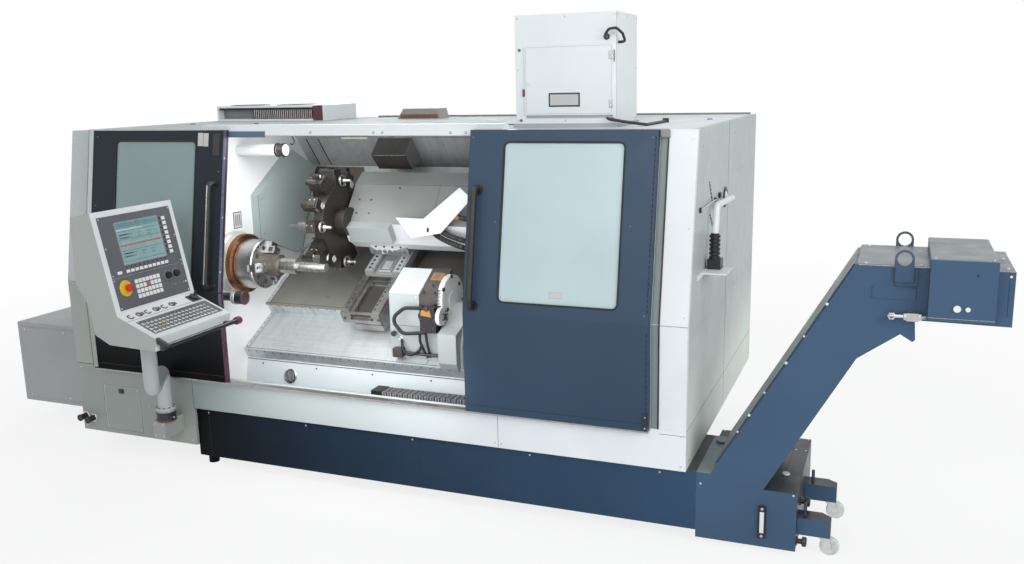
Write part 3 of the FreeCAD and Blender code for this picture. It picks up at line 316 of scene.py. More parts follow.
# %% Slow tone changes and the fine skin of a coat
tree, ins, outs = group(
    "coat skin",
    [("Colour", "Color", (0.8, 0.8, 0.8, 1)), ("Tone", "Float", 0.05), ("Grain", "Float", 600.0),
     ("Low Roughness", "Float", 0.4), ("High Roughness", "Float", 0.5), PLACE],
    [("Colour", "Color"), ("Roughness", "Float"), ("Height", "Float")])
slow = spread(tree, noise(tree, ins["Position"], 1.7, 3.0), 0.3, 0.7, -1.0, 1.0)
swing = feed(tree, add(tree, "Math", operation="MULTIPLY_ADD"), n0=slow, n1=ins["Tone"], n2=1.0)
toned = feed(tree, add(tree, "VectorMath", operation="SCALE"), n0=ins["Colour"], Scale=swing.outputs[0])
smears = noise(tree, ins["Position"], 9.0, 6.0)
gloss = spread(tree, smears, 0.3, 0.7, ins["Low Roughness"], ins["High Roughness"])
feed(tree, outs, Colour=toned.outputs[0], Roughness=gloss,
     Height=noise(tree, ins["Position"], ins["Grain"], 1.0))

# %% Fine lines left by a brush or a grinding wheel
tree, ins, outs = group("tool lines", [PLACE, ("Stretch", "Vector", (4.0, 400.0, 400.0))],
                        [("Value", "Float"), ("Height", "Float")])
pulled = reckon(tree, "MULTIPLY", ins["Position"], ins["Stretch"], "VectorMath")
lines = noise(tree, pulled, 1.0, 4.0)
feed(tree, outs, Value=spread(tree, lines, 0.3, 0.7), Height=lines)

# %% Runs and blotches of coolant
tree, ins, outs = group("coolant runs", [PLACE, ("Amount", "Float", 0.3)], [("Mask", "Float")])
drawn = reckon(tree, "MULTIPLY", ins["Position"], (14.0, 3.5, 2.0), "VectorMath")
runs = spread(tree, noise(tree, drawn, 1.0, 6.0), 0.48, 0.72)
blots = spread(tree, noise(tree, ins["Position"], 22.0, 3.0), 0.45, 0.7)
both = reckon(tree, "MAXIMUM", runs, times(tree, blots, 0.6))
feed(tree, outs, Mask=times(tree, both, ins["Amount"]))
print("shared effects:", len(bpy.data.node_groups))

# %% [markdown]
# ## Paint shop
# The cabinet is folded sheet with a baked powder coat: nearly even in colour, slightly
# pebbled, softly glossy. `coated` makes every such finish from a colour, a gloss and
# amounts of rub and dust. Rubbed spots show paler primer.
# `machined` makes bare metal: tool lines change its gloss and height, and coolant runs
# darken it. `moulded` is plastic and rubber, a plainer skin with a matt grain.
# A fade is (axis, near, far, colour at the near end), in drawing millimetres. Every fade here is painted
# light or shade: a surface darker or lighter towards one end, where the light falls off or catches it.

# %% Finishes
FINISH = {}
DUST_COLOUR = (0.52, 0.52, 0.50, 1)
WORN_METAL = (0.70, 0.70, 0.71, 1)
COOLANT_STAIN = (0.10, 0.09, 0.08, 1)


def use_group(tree, name, position, **values):
    """Place a shared effect in a material with its own values."""
    node = add(tree, "Group", node_tree=bpy.data.node_groups[name])
    return feed(tree, node, Position=position, **values).outputs


def start_finish(name):
    """A new material with its surface node and the drawing's position."""
    made = bpy.data.materials.new(name)
    made.use_nodes = True
    tree = made.node_tree
    FINISH[name] = made
    return tree, tree.nodes["Principled BSDF"], add(tree, "TexCoord").outputs["Object"]


def relief(tree, strength, distance, height, **normal):
    """A bump from a height."""
    bump = feed(tree, add(tree, "Bump"), Strength=strength, Distance=distance, Height=height, **normal)
    return bump.outputs[0]


def coated(name, colour, gloss=0.45, tone=0.04, rub=0.35, dust=0.25, grain=620.0, bump=0.06,
           coat=0.0, shine=0.5, radius=0.003, painted_light_fades=()):
    """Powder coat or moulded skin."""
    tree, surface, position = start_finish(name)
    shade = (*colour, 1)
    # Each fade paints light or shade into the colour along one axis.
    for axis, near, far, near_colour in painted_light_fades:
        parts = feed(tree, add(tree, "SeparateXYZ"), n0=position)
        middle = {"X": MIDDLE_X, "Y": MIDDLE_Y, "Z": 0}[axis]
        amount = spread(tree, parts.outputs[axis], (near - middle) / 1000, (far - middle) / 1000)
        shade = blend_colour(tree, amount, (*near_colour, 1), shade)
    skin = use_group(tree, "coat skin", position, Tone=tone, Grain=grain, Low_Roughness=gloss - 0.07,
                     High_Roughness=gloss + 0.09, Colour=shade)
    edges = use_group(tree, "rubbed edges", position, Radius=radius, Wear=rub)
    dusty = use_group(tree, "settled dust", position, Amount=dust)
    primer = (*(min(1.0, channel * 1.5 + 0.12) for channel in colour), 1)
    rubbed = blend_colour(tree, edges["Mask"], skin["Colour"], primer)
    settled = blend_colour(tree, dusty["Mask"], rubbed, DUST_COLOUR)
    normal = relief(tree, bump, 0.0006, skin["Height"], Normal=edges["Normal"])
    feed(tree, surface, Base_Color=settled, Roughness=skin["Roughness"], Normal=normal,
         Coat_Weight=coat, Specular_IOR_Level=shine)


def machined(name, colour, gloss=0.32, lines=(4.0, 260.0, 260.0), stain=0.3, metal=1.0, bump=0.08):
    """Bare metal with tool lines and coolant runs."""
    tree, surface, position = start_finish(name)
    cut = use_group(tree, "tool lines", position, Stretch=lines)
    edges = use_group(tree, "rubbed edges", position, Radius=0.002, Wear=0.4)
    wet = use_group(tree, "coolant runs", position, Amount=stain)
    pale = (*(min(1.0, channel * 1.22) for channel in colour), 1)
    drawn = blend_colour(tree, cut["Value"], (*colour, 1), pale)
    bright = blend_colour(tree, edges["Mask"], drawn, WORN_METAL)
    stained = blend_colour(tree, wet["Mask"], bright, COOLANT_STAIN)
    normal = relief(tree, bump, 0.0004, cut["Height"], Normal=edges["Normal"])
    feed(tree, surface, Base_Color=stained, Metallic=metal, Normal=normal,
         Roughness=spread(tree, cut["Value"], 0.0, 1.0, gloss - 0.07, gloss + 0.08))


def moulded(name, colour, gloss=0.5, grain=900.0, bump=0.12, coat=0.0):
    """Plastic or rubber."""
    coated(name, colour, gloss, 0.03, 0.12, 0.18, grain, bump, coat, radius=0.0015)


# Painted shade: the column is darker below the crease, where its front stands upright, and darker still at
# the foot.
coated("column grey", (0.54, 0.59, 0.59), 0.42, painted_light_fades=(("Z", 1100, 1135, (0.40, 0.43, 0.39)),
    ("Z", 560, 600, (0.335, 0.365, 0.34))))
coated("cabinet white", (0.86, 0.905, 0.925), 0.40)
# Painted shade: the roof turns grey towards its left end, where the light falls off.
coated("roof white", (0.86, 0.90, 0.92), 0.55, shine=0.1, painted_light_fades=(("X", 2900, 3600, (0.50, 0.56, 0.56)),))
# Painted shade: the apron darkens towards its left end, where the light falls off.
coated("apron white", (0.88, 0.925, 0.945), 0.40, painted_light_fades=(("X", 1000, 3300, (0.31, 0.365, 0.36)),))
# Painted shadow: darker towards the bottom, nearly black under the pendant and on the base frame.
coated("door charcoal", (0.035, 0.044, 0.051), 0.40, rub=0.2, dust=0.06, shine=0.06,
    painted_light_fades=(("Z", 640, 1150, (0.003, 0.003, 0.003)),))
# Painted shade: the right door frame darkens towards the bottom, below the crease.
coated("door slate", (0.053, 0.086, 0.137), 0.38, rub=0.2, dust=0.06, shine=0.2,
    painted_light_fades=(("Z", 650, 1500, (0.035, 0.067, 0.118)),))
# Painted light: the right end is lighter low down, standing in for light thrown up from the floor.
coated("side grey", (0.50, 0.56, 0.555), 0.45, painted_light_fades=(("Z", 600, 1050, (0.84, 0.91, 0.84)),))
coated("box grey", (0.40, 0.415, 0.425), 0.5, tone=0.08)
# Painted shade: the trough darkens to near black towards its left end.
coated("trough blue", (0.040, 0.082, 0.150), 0.40, tone=0.10, rub=0.3, dust=0.12, shine=0.08,
    painted_light_fades=(("X", 950, 3900, (0.002, 0.003, 0.004)),))
coated("conveyor blue", (0.062, 0.114, 0.194), 0.38, tone=0.06, rub=0.4, dust=0.15, shine=0.15)
# Painted shade: a near-black copy of the conveyor's blue for the tank's faces under the incline.
coated("tank painted shade", (0.022, 0.028, 0.036), 0.36, tone=0.25, rub=0.4, dust=0.1, shine=0.35)
coated("lug grey", (0.070, 0.095, 0.120), 0.42)
# Painted light: a pale grey copy of the conveyor's blue for faces that look up and catch the light.
coated("drive top painted light", (0.17, 0.21, 0.22), 0.40, tone=0.12)
coated("mist white", (0.86, 0.90, 0.92), 0.38)
coated("vent beige", (0.40, 0.37, 0.35), 0.45)
coated("cover white", (0.72, 0.75, 0.755), 0.42)
# Painted shade: a darker copy of cover white for faces turned from the light.
coated("cover white painted shade", (0.40, 0.445, 0.45), 0.42)
coated("lip white", (0.70, 0.77, 0.80), 0.38)
coated("plinth grey", (0.42, 0.46, 0.48), 0.45)
# Painted light: the wall is whiter towards the bottom, standing in for light through the doorway.
coated("inner white", (0.84, 0.86, 0.865), 0.35, dust=0.1, painted_light_fades=(("Z", 800, 1300, (0.97, 0.97, 0.97)),))
coated("guard green", (0.37, 0.44, 0.43), 0.46, dust=0.1)
coated("turret grey", (0.27, 0.28, 0.275), 0.40, tone=0.08)
coated("flap white", (0.74, 0.75, 0.77), 0.42)
coated("rear grey", (0.50, 0.55, 0.55), 0.42)
coated("pendant grey", (0.295, 0.32, 0.32), 0.45)
coated("pendant side", (0.40, 0.43, 0.405), 0.45)
# Painted shade: the column's edge strips are darker below the crease.
coated("column light", (0.56, 0.62, 0.61), 0.42, painted_light_fades=(("Z", 900, 1300, (0.40, 0.42, 0.39)),))
coated("ceiling brown", (0.050, 0.043, 0.039), 0.45)
coated("pendant white", (0.80, 0.83, 0.84), 0.40)
coated("arm grey", (0.44, 0.46, 0.475), 0.35, coat=0.2)
coated("bracket red brown", (0.16, 0.035, 0.03), 0.45)
machined("liner steel", (0.60, 0.61, 0.615), 0.42, (260.0, 3.0, 3.0), 0.25, 0.6)
machined("cover steel", (0.60, 0.635, 0.64), 0.42, (3.0, 220.0, 220.0), 0.16, 0.45)
machined("bed casting", (0.10, 0.095, 0.09), 0.5, (60.0, 60.0, 60.0), 0.4, 0.7, 0.3)
machined("slide steel", (0.36, 0.35, 0.345), 0.34, (3.0, 300.0, 300.0), 0.45, 0.9)
machined("ground steel", (0.50, 0.49, 0.47), 0.28, (500.0, 6.0, 6.0), 0.12)
machined("rough bar", (0.17, 0.148, 0.128), 0.5, (90.0, 90.0, 90.0), 0.4, 0.8, 0.4)
machined("chuck steel", (0.50, 0.505, 0.51), 0.34, (700.0, 8.0, 8.0), 0.10)
machined("copper ring", (0.24, 0.10, 0.045), 0.30, (400.0, 8.0, 8.0), 0.30, 0.85)
machined("turret dark", (0.075, 0.068, 0.062), 0.42, (50.0, 50.0, 50.0), 0.35, 0.8, 0.35)
machined("holder steel", (0.50, 0.50, 0.49), 0.24, (300.0, 10.0, 10.0), 0.2)
machined("nose iron", (0.62, 0.61, 0.56), 0.4, (300.0, 8.0, 8.0), 0.15, 0.4)
machined("lamp cap brown", (0.10, 0.085, 0.075), 0.4, (60.0, 60.0, 60.0), 0.3, 0.8)
# Painted highlight: the violet stripe on the left door's closing edge, fading to dark maroon lower down.
coated("edge violet painted highlight", (0.11, 0.13, 0.20), 0.30, 0.10, shine=0.4,
    painted_light_fades=(("Z", 850, 1250, (0.050, 0.016, 0.028)),))
machined("fork zinc", (0.58, 0.59, 0.57), 0.35, (40.0, 40.0, 40.0), 0.2)
moulded("satin black", (0.016, 0.016, 0.018), 0.42)
moulded("bar grey", (0.20, 0.20, 0.21), 0.35, coat=0.3)
moulded("chain grey", (0.15, 0.155, 0.16), 0.55)
moulded("gasket black", (0.012, 0.012, 0.013), 0.65)
moulded("panel grey", (0.115, 0.122, 0.137), 0.55)
moulded("key white", (0.84, 0.86, 0.85), 0.45)
moulded("key yellow", (0.72, 0.60, 0.05), 0.45)
moulded("key green", (0.10, 0.42, 0.12), 0.45)
moulded("keyboard olive", (0.145, 0.145, 0.125), 0.55)
moulded("signal red", (0.66, 0.035, 0.025), 0.28, coat=0.5)
moulded("signal yellow", (0.80, 0.52, 0.02), 0.35, coat=0.3)
moulded("label orange", (0.42, 0.19, 0.035), 0.5)
moulded("wheel tread", (0.64, 0.74, 0.80), 0.30, coat=0.4)
moulded("fin bronze", (0.14, 0.085, 0.075), 0.45)


def pane(name, colour, clear):
    """A thick safety pane, frosted by years of fine scratches."""
    tree, surface, position = start_finish(name)
    skin = use_group(tree, "coat skin", position, Tone=0.05, Grain=300.0, Low_Roughness=0.10,
                     High_Roughness=0.24, Colour=(*colour, 1))
    feed(tree, surface, Base_Color=skin["Colour"], Roughness=skin["Roughness"],
         Normal=relief(tree, 0.02, 0.0004, skin["Height"]), Transmission_Weight=clear, IOR=1.45)


# Painted shade: the left pane is the same frosted glass as the right one, painted darker.
pane("left pane painted shade", (0.31, 0.41, 0.405), 0.12)
pane("right pane", (0.64, 0.79, 0.82), 0.12)
print("finishes:", len(FINISH))


# %% [markdown]
# ## Coating the solids
# A solid whose shape is right only needs its finish. `coat` gives a whole solid one
# finish. Some solids carry two or three, such as a carriage with a white box and brown
# fittings: `coat_where` then gives another finish to the faces that pass a test of their
# middle (in drawing millimetres) and of the way they look.

# %% Coat whole solids
def coat(finish, *names):
    """Give whole solids one finish."""
    for name in names:
        nodes[name].data.materials.clear()
        nodes[name].data.materials.append(FINISH[finish])


def coat_where(name, finish, test):
    """Give the faces that pass a test another finish."""
    mesh = nodes[name].data
    mesh.materials.append(FINISH[finish])
    index = len(mesh.materials) - 1
    chosen = 0
    for face in mesh.polygons:
        x, y, z = face.center / MM
        if test(Vector((x + MIDDLE_X, y + MIDDLE_Y, z)), face.normal):
            face.material_index = index
            chosen += 1
    print(name, finish, chosen, "faces")


COATS = {
    "column grey": "left_front_panel access_panel pendant_bracket",
    "apron white": "front_apron",
    "cabinet white": "right_front_panel header",
    "roof white": "roof_panel",
    "side grey": "right_side_panel",
    "rear grey": "rear_panel left_side_panel",
    "box grey": "left_side_box",
    "door charcoal": "base_frame left_door_frame",
    "door slate": "right_door_frame",
    "slide steel": "door_rails saddle carriage_head",
    "left pane painted shade": "left_door_window",
    "right pane": "right_door_window",
    "inner white": "headstock_wall work_lamp",
    "satin black": "spot_lamp right_door_handle feed_knob spindle_knob handwheel left_door_handle",
    "nose iron": "spindle_nose",
    "guard green": "corner_guard",
    "bed casting": "slant_bed",
    "cover steel": "bed_covers",
    "liner steel": "rear_liner",
    "turret dark": "turret_disc",
    "ceiling brown": "ceiling_box",
    "chain grey": "drag_chain",
    "mist white": "mist_collector mist_collector_door heat_exchanger coolant_gun",
    "cover white": "carriage_body",
    "vent beige": "roof_vent",
    "trough blue": "conveyor_trough",
    "conveyor blue": "coolant_tank conveyor_incline conveyor_drive",
    "lug grey": "lifting_lugs",
    "chuck steel": "chuck_body chuck_jaw_1 chuck_jaw_2 chuck_jaw_3",
    "ground steel": "workpiece",
    "turret grey": "turret_housing",
    "arm grey": "pendant_arm",
    "pendant grey": "pendant_housing",
    "panel grey": "pendant_panel",
    "signal red": "emergency_stop",
    "fork zinc": "caster_fork_front caster_fork_rear",
    "wheel tread": "caster_wheel_front caster_wheel_rear",
}
for finish, names in COATS.items():
    coat(finish, *names.split())
print("coated whole:", sum(len(names.split()) for names in COATS.values()), "solids")

# %% Coat the parts of mixed solids
TURRET = Vector((1490, 768, 1444))


def from_turret(spot):
    """Distance from the turret's axis."""
    return math.hypot(spot.y - TURRET.y, spot.z - TURRET.z)


coat_where("left_front_panel", "satin black", lambda p, n: p.y < -2)
coat_where("spindle_nose", "copper ring", lambda p, n: p.x > 1040.5 or (p.x > 1039 and n.x < -0.5))
coat_where("workpiece", "rough bar", lambda p, n: p.x < 1350)
coat_where("work_lamp", "lamp cap brown", lambda p, n: p.x > 1304)
coat_where("mist_collector", "plinth grey", lambda p, n: p.z < 2070)
coat_where("mist_collector", "satin black",
    lambda p, n: p.y < 389 or p.x > 3478 or (p.x > 3466 and p.z > 2070))
coat_where("heat_exchanger", "fin bronze",
    lambda p, n: 15 < p.z - HEIGHT < 94 and 1501 < p.y < 1561 and p.x > 340)
coat_where("coolant_gun", "satin black", lambda p, n: 1331 < p.z < 1513 and p.x > 3944)
# Faces that look up get painted light.
coat_where("conveyor_drive", "drive top painted light", lambda p, n: n.z > 0.5)
coat_where("conveyor_incline", "drive top painted light", lambda p, n: n.z > 0.3)
coat_where("conveyor_incline", "holder steel", lambda p, n: p.y < 20 and 1218 < p.z < 1264 and p.x < 4966)
# Painted shade on the tank's top and right faces and on the trough's tops, under the incline.
coat_where("coolant_tank", "tank painted shade", lambda p, n: n.z > 0.5 or n.x > 0.5)
coat_where("conveyor_trough", "tank painted shade", lambda p, n: n.z > 0.5)
coat_where("lifting_lugs", "conveyor blue", lambda p, n: p.y < 100 and p.z < 1462)
coat_where("bed_covers", "lip white", lambda p, n: n.y < -0.5 and p.z < 592)
coat_where("conveyor_drive", "key white", lambda p, n: p.y < -56)
# Painted shade: the carriage box's front and right part take the darker copy of its white.
coat_where("carriage_body", "cover white painted shade", lambda p, n: n.y < -0.9 or p.x > 2253)
coat_where("carriage_body", "turret dark", lambda p, n: p.y < 449.5 and p.z < 760 and p.x < 2345)
coat_where("carriage_head", "rough bar", lambda p, n: p.z > 1020 and p.x < 2376)
coat_where("carriage_head", "flap white", lambda p, n: p.x > 2379)
coat_where("carriage_head", "gasket black", lambda p, n: (p.y < 449 and p.x < 2399) or p.x < 2251)
coat_where("turret_housing", "flap white", lambda p, n: 715 < p.y < 723)
coat_where("turret_housing", "flap white",
    lambda p, n: p.x > 1568 and n.y < -0.35 and n.z < -0.1 and p.z > 1250)
# Painted shade on the arm's right face and on its tops and undersides.
coat_where("turret_housing", "cover white painted shade",
    lambda p, n: 1617 < p.x < 1937.5 and p.z > 1300
    and (n.x > 0.5 or (p.x < 1936 and p.y < 790 and (n.z > 0.8 or n.z < -0.45))))
coat_where("turret_housing", "turret dark", lambda p, n: p.x < 1617 and from_turret(p) < 96)
coat_where("pendant_housing", "pendant white", lambda p, n: n.x > 0.15)
coat_where("pendant_housing", "pendant side", lambda p, n: n.y < -0.9)
coat_where("pendant_housing", "satin black", lambda p, n: p.x > 1371)
coat_where("door_rails", "cabinet white", lambda p, n: p.z > 2000)
HUB = (4621, 46)
for wheel in ("caster_wheel_front", "caster_wheel_rear"):
    coat_where(wheel, "fork zinc", lambda p, n: abs(n.y) > 0.9 and math.dist((p.x, p.z), HUB) < 33)

# %% [markdown]
# ## The fitter's tools
# Small fittings are many and alike: screws, seams, gaskets, keys, hoses. A `Kit` collects
# such pieces in one mesh that rides on one moving part. Each piece is drawn in its own
# small mesh, so that its edges can be softened, and is then carried to its place.
# Round pieces come from a turned profile, as on a lathe, and hoses follow a smooth curve
# whose rings can swell into ribs. Places are in drawing millimetres, like the solids.

# %% Kits of small pieces
CURVE_STEPS = 16
SHARP = math.radians(35)
CAP_SCREW = ((1, 0.7), (0.85, 1), (0.5, 1), (0.45, 0.4), (0, 0.35))


def smooth_line(points, step=6.0):
    """Points along a smooth curve through the given ones, evenly spaced in millimetres."""
    points = [Vector(p) for p in points]
    ends = [points[0] * 2 - points[1]] + points + [points[-1] * 2 - points[-2]]
    fine = []
    for a, b, c, d in zip(ends, ends[1:], ends[2:], ends[3:]):
        for index in range(CURVE_STEPS):
            t = index / CURVE_STEPS
            bend, twist = 2 * a - 5 * b + 4 * c - d, 3 * b - a - 3 * c + d
            fine.append(0.5 * (2 * b + (c - a) * t + bend * t ** 2 + twist * t ** 3))
    fine.append(points[-1])
    line, carried = [fine[0]], 0.0
    for before, after in zip(fine, fine[1:]):
        carried += (after - before).length
        if carried >= step:
            line.append(after)
            carried = 0.0
    return line + [fine[-1]]


def ring_of(piece, radius, height, sides):
    """A ring of corners around the upright axis."""
    turns = [2 * math.pi * k / sides for k in range(sides)]
    return [piece.verts.new((radius * math.cos(t), radius * math.sin(t), height)) for t in turns]


def skin_over(piece, rings):
    """Join neighbouring rings of corners with faces; a ring may shrink to a point."""
    for low, high in zip(rings, rings[1:]):
        for k in range(len(low)):
            n = (k + 1) % len(low)
            corners = list(dict.fromkeys([low[k], low[n], high[n], high[k]]))
            if len(corners) > 2:
                piece.faces.new(corners)


class Kit:
    """Small pieces that ride together on one moving part."""

    def __init__(self, name, body):
        self.name, self.body = name, body
        self.whole, self.finishes, self.count = bmesh.new(), [], 0

    def take(self, finish, piece, matrix=None):
        if finish not in self.finishes:
            self.finishes.append(finish)
        for face in piece.faces:
            face.material_index = self.finishes.index(finish)
            face.smooth = True
        if matrix is not None:
            bmesh.ops.scale(piece, vec=(MM, MM, MM), verts=piece.verts)
            bmesh.ops.transform(piece, matrix=matrix, verts=piece.verts)
        bmesh.ops.recalc_face_normals(piece, faces=piece.faces)
        carrier = bpy.data.meshes.new("carrier")
        piece.to_mesh(carrier)
        piece.free()
        self.whole.from_mesh(carrier)
        bpy.data.meshes.remove(carrier)
        self.count += 1

    def slab(self, finish, matrix, right, up, out, soft=0.8):
        """A block with softened edges, standing on the middle of its foot."""
        piece = bmesh.new()
        bmesh.ops.create_cube(piece, size=1)
        for corner in piece.verts:
            x, y, z = corner.co
            corner.co = Vector((x * right, y * up, (z + 0.5) * out))
        soft = min(soft, right / 3, up / 3, out / 3)
        bmesh.ops.bevel(piece, geom=piece.edges[:], offset=soft, segments=2, affect="EDGES")
        self.take(finish, piece, matrix)

    def between(self, finish, plane, r0, r1, u0, u1, o0, o1, soft=0.8):
        """A softened block between two corners on a plane."""
        foot = plane.matrix((r0 + r1) / 2, (u0 + u1) / 2, o0)
        self.slab(finish, foot, r1 - r0, u1 - u0, o1 - o0, soft)

    def plate(self, finish, plane, corners, o0, o1):
        """A flat plate with any outline on a plane."""
        piece = bmesh.new()
        face = piece.faces.new([piece.verts.new((r, u, o0)) for r, u in corners])
        raised = bmesh.ops.extrude_face_region(piece, geom=[face])["geom"]
        raised = [part for part in raised if isinstance(part, bmesh.types.BMVert)]
        bmesh.ops.translate(piece, vec=(0, 0, o1 - o0), verts=raised)
        soft = min(0.6, (o1 - o0) / 3)
        bmesh.ops.bevel(piece, geom=piece.edges[:], offset=soft, segments=1, affect="EDGES")
        self.take(finish, piece, plane.matrix())

    def turned(self, finish, matrix, profile, sides=24):
        """A round piece from (radius, height) points, standing on its foot."""
        piece = bmesh.new()
        rings = []
        for radius, height in profile:
            if radius <= 0:
                rings.append([piece.verts.new((0, 0, height))] * sides)
            else:
                rings.append(ring_of(piece, radius, height, sides))
        skin_over(piece, rings)
        self.take(finish, piece, matrix)

    def hose(self, finish, points, radius, rib=0.0, pitch=10.0, sides=14):
        """A round hose or rod along a smooth curve; ribs swell it at each pitch."""
        line = smooth_line(points, pitch / 4 if rib else 6.0)
        piece = bmesh.new()
        rings, side_way, walked = [], None, 0.0
        for index, spot in enumerate(line):
            ahead = (line[min(index + 1, len(line) - 1)] - line[max(index - 1, 0)]).normalized()
            if side_way is None:
                side_way = ahead.orthogonal().normalized()
            side_way = (side_way - ahead * side_way.dot(ahead)).normalized()
            other = ahead.cross(side_way)
            if index:
                walked += (spot - line[index - 1]).length
            swell = radius + rib * (0.5 - 0.5 * math.cos(2 * math.pi * walked / pitch))
            ring = []
            for k in range(sides):
                turn = 2 * math.pi * k / sides
                away = side_way * swell * math.cos(turn) + other * swell * math.sin(turn)
                ring.append(piece.verts.new(at(*(spot + away))))
            rings.append(ring)
        skin_over(piece, rings)
        piece.faces.new(rings[0])
        piece.faces.new(rings[-1])
        self.take(finish, piece)

    def gasket(self, finish, plane, r0, r1, u0, u1, o0, o1, width, corner):
        """A rounded frame around an opening."""
        piece = bmesh.new()
        rings = []
        corners = ((r1 - corner, u1 - corner), (r0 + corner, u1 - corner),
                   (r0 + corner, u0 + corner), (r1 - corner, u0 + corner))
        for grow, height in ((0, o0), (0, o1 - 0.6), (width * 0.25, o1), (width * 0.75, o1),
                             (width, o1 - 0.6), (width, o0)):
            ring = []
            for quarter, centre in enumerate(corners):
                for step in range(7):
                    spot = around(centre, corner + grow, 90 * quarter + 15 * step)
                    ring.append(piece.verts.new((*spot, height)))
            rings.append(ring)
        skin_over(piece, rings)
        self.take(finish, piece, plane.matrix())

    def screws(self, finish, plane, places, radius=5, out=0, height=3):
        """Cap screws with a socket."""
        profile = [(radius, -0.5)] + [(radius * wide, height * high) for wide, high in CAP_SCREW]
        for right, up in places:
            self.turned(finish, plane.matrix(right, up, out), profile, 12)

    def seam(self, plane, *lines, out=0, width=2, finish="gasket black"):
        """Thin joint lines between folded sheets; a line is right, up, right, up and so on."""
        for line in lines:
            for r0, u0, r1, u1 in zip(line[::2], line[1::2], line[2::2], line[3::2]):
                turn = Matrix.Rotation(math.atan2(u1 - u0, r1 - r0), 4, "Z")
                spot = plane.matrix((r0 + r1) / 2, (u0 + u1) / 2, out - 0.4) @ turn
                self.slab(finish, spot, math.hypot(r1 - r0, u1 - u0), width, 1.0, 0.3)

    def fit(self):
        mesh = bpy.data.meshes.new(self.name)
        self.whole.to_mesh(mesh)
        self.whole.free()
        for finish in self.finishes:
            mesh.materials.append(FINISH[finish])
        mesh.set_sharp_from_angle(angle=SHARP)
        made = bpy.data.objects.new(self.name, mesh)
        scene.collection.objects.link(made)
        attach(made, self.body)
        print(self.name, "on", self.body, "-", self.count, "pieces,", len(mesh.polygons), "faces")


# %% [markdown]
# ## Doors
# Each window pane sits in a black rubber gasket that hides the sawn edge of the sheet.
# The left door's closing edge meets the right door as stripes, with a darker band and a dark
# red seal; its violet-blue stripes are painted highlight, fading to maroon lower. Bare plates mark where
# signs were fixed.
# These are thin, so they are laid on the solids' faces and ride with each door.

# %% Door gaskets, edge strips and plates
WINDOW_LOW, WINDOW_HIGH = 64.1, 871.6
DOOR_FACE = 53
EDGE_UP = Plane((1206, 0, CREASE), (0, 930, -172), LEAN_BACK)
coated("seal maroon", (0.11, 0.03, 0.04), 0.35)
coated("edge dark", (0.030, 0.018, 0.030), 0.30)
# Painted highlight: the blue stripe beside the violet one, fading to dark maroon lower down.
coated("edge blue painted highlight", (0.11, 0.135, 0.24), 0.28, shine=0.4, painted_light_fades=(("Z", 850, 1300, (0.055, 0.018, 0.030)),))
coated("line blue", (0.42, 0.52, 0.66), 0.35)
coated("bare plate", (0.60, 0.60, 0.58), 0.40)
coated("dark plate", (0.030, 0.028, 0.032), 0.40)
# Painted shade for the recess beside the right door.
coated("jamb painted shade", (0.25, 0.30, 0.29), 0.42)
coated("guide blue", (0.12, 0.165, 0.23), 0.36, shine=0.3)
coated("yellow strip", (0.70, 0.68, 0.48), 0.45)
kit = Kit("left_door_trim", "left_door")
kit.gasket("gasket black", LEAN, 415, 1007, WINDOW_LOW, WINDOW_HIGH, 46, 56, 9, 24)
# The violet and blue stripes are painted highlight along the edge.
for finish, near, far in (("edge violet painted highlight", 40, 53.2), ("edge blue painted highlight", 29, 40), ("edge dark", 15, 29),
        ("seal maroon", 9, 15)):
    kit.between(finish, ALONG_X, -far, -near, 584, 1118, 1205.5, 1206.6, 0.4)
    kit.between(finish, EDGE_UP, -far, -near, 2, 942, -0.5, 0.6, 0.4)
kit.screws("key white", EDGE_UP, [(-38, 436), (-38, 120), (-38, 780)], 6, -0.4, 1.1)
kit.between("bare plate", LEAN, 1024, 1062, 847, 925, 52.5, 54.6)
kit.between("bare plate", LEAN, 1064, 1100, 845, 923, 52.5, 54.6)
kit.between("dark plate", LEAN, 1132, 1178, 793, 920, 52.5, 55)
kit.between("holder steel", LEAN, 1157, 1163, 44, 616, 124.8, 127, 1)
kit.screws("bar grey", LEAN, [(262, 40), (262, 480), (262, 900), (1180, 40), (1180, 700)], 4, DOOR_FACE, 2)
kit.seam(FRONT, (204, 622, 1204, 622), out=DOOR_FACE, width=2.4)
kit.fit()
kit = Kit("right_door_trim", "right_door")
kit.gasket("gasket black", LEAN, 2965, 3590, WINDOW_LOW, WINDOW_HIGH, 46, 56, 9, 24)
kit.between("bare plate", LEAN, 3237, 3307, 96, 126, 46.8, 48.6)
for up in range(60, 900, 27):
    kit.slab("gasket black", LEAN.matrix(3744, up, 52.6), 5, 19, 1.6, 0.5)
for up in range(610, 1080, 29):
    kit.slab("gasket black", FRONT.matrix(3744, up, 52.6), 5, 20, 1.6, 0.5)
kit.between("satin black", FRONT, 3734, 3753, 588, 676, 52.5, 66, 2)
kit.screws("holder steel", FRONT, [(3743, 604), (3743, 660)], 4, 66, 2)
kit.screws("bar grey", LEAN, [(2785, 40), (2785, 900), (3730, 40), (3730, 900), (2930, 470), (3640, 470)], 4,
    DOOR_FACE, 2)
kit.seam(FRONT, (2770, 622, 3750, 622), out=DOOR_FACE, width=2.4)
kit.fit()

# %% [markdown]
# ## Cabinet front, header and roof
# The cabinet is bolted up from folded panels, so thin joints run where two panels meet,
# and cap screws sit at the corners. Over the gap between the doors the header carries a
# blue guide cover and a few holes for lifting screws. Beside the right door the recess is
# a dark grey-green strip, which is painted shade of the gap.

# %% Cabinet joints and covers
kit = Kit("cabinet_trim", "machine")
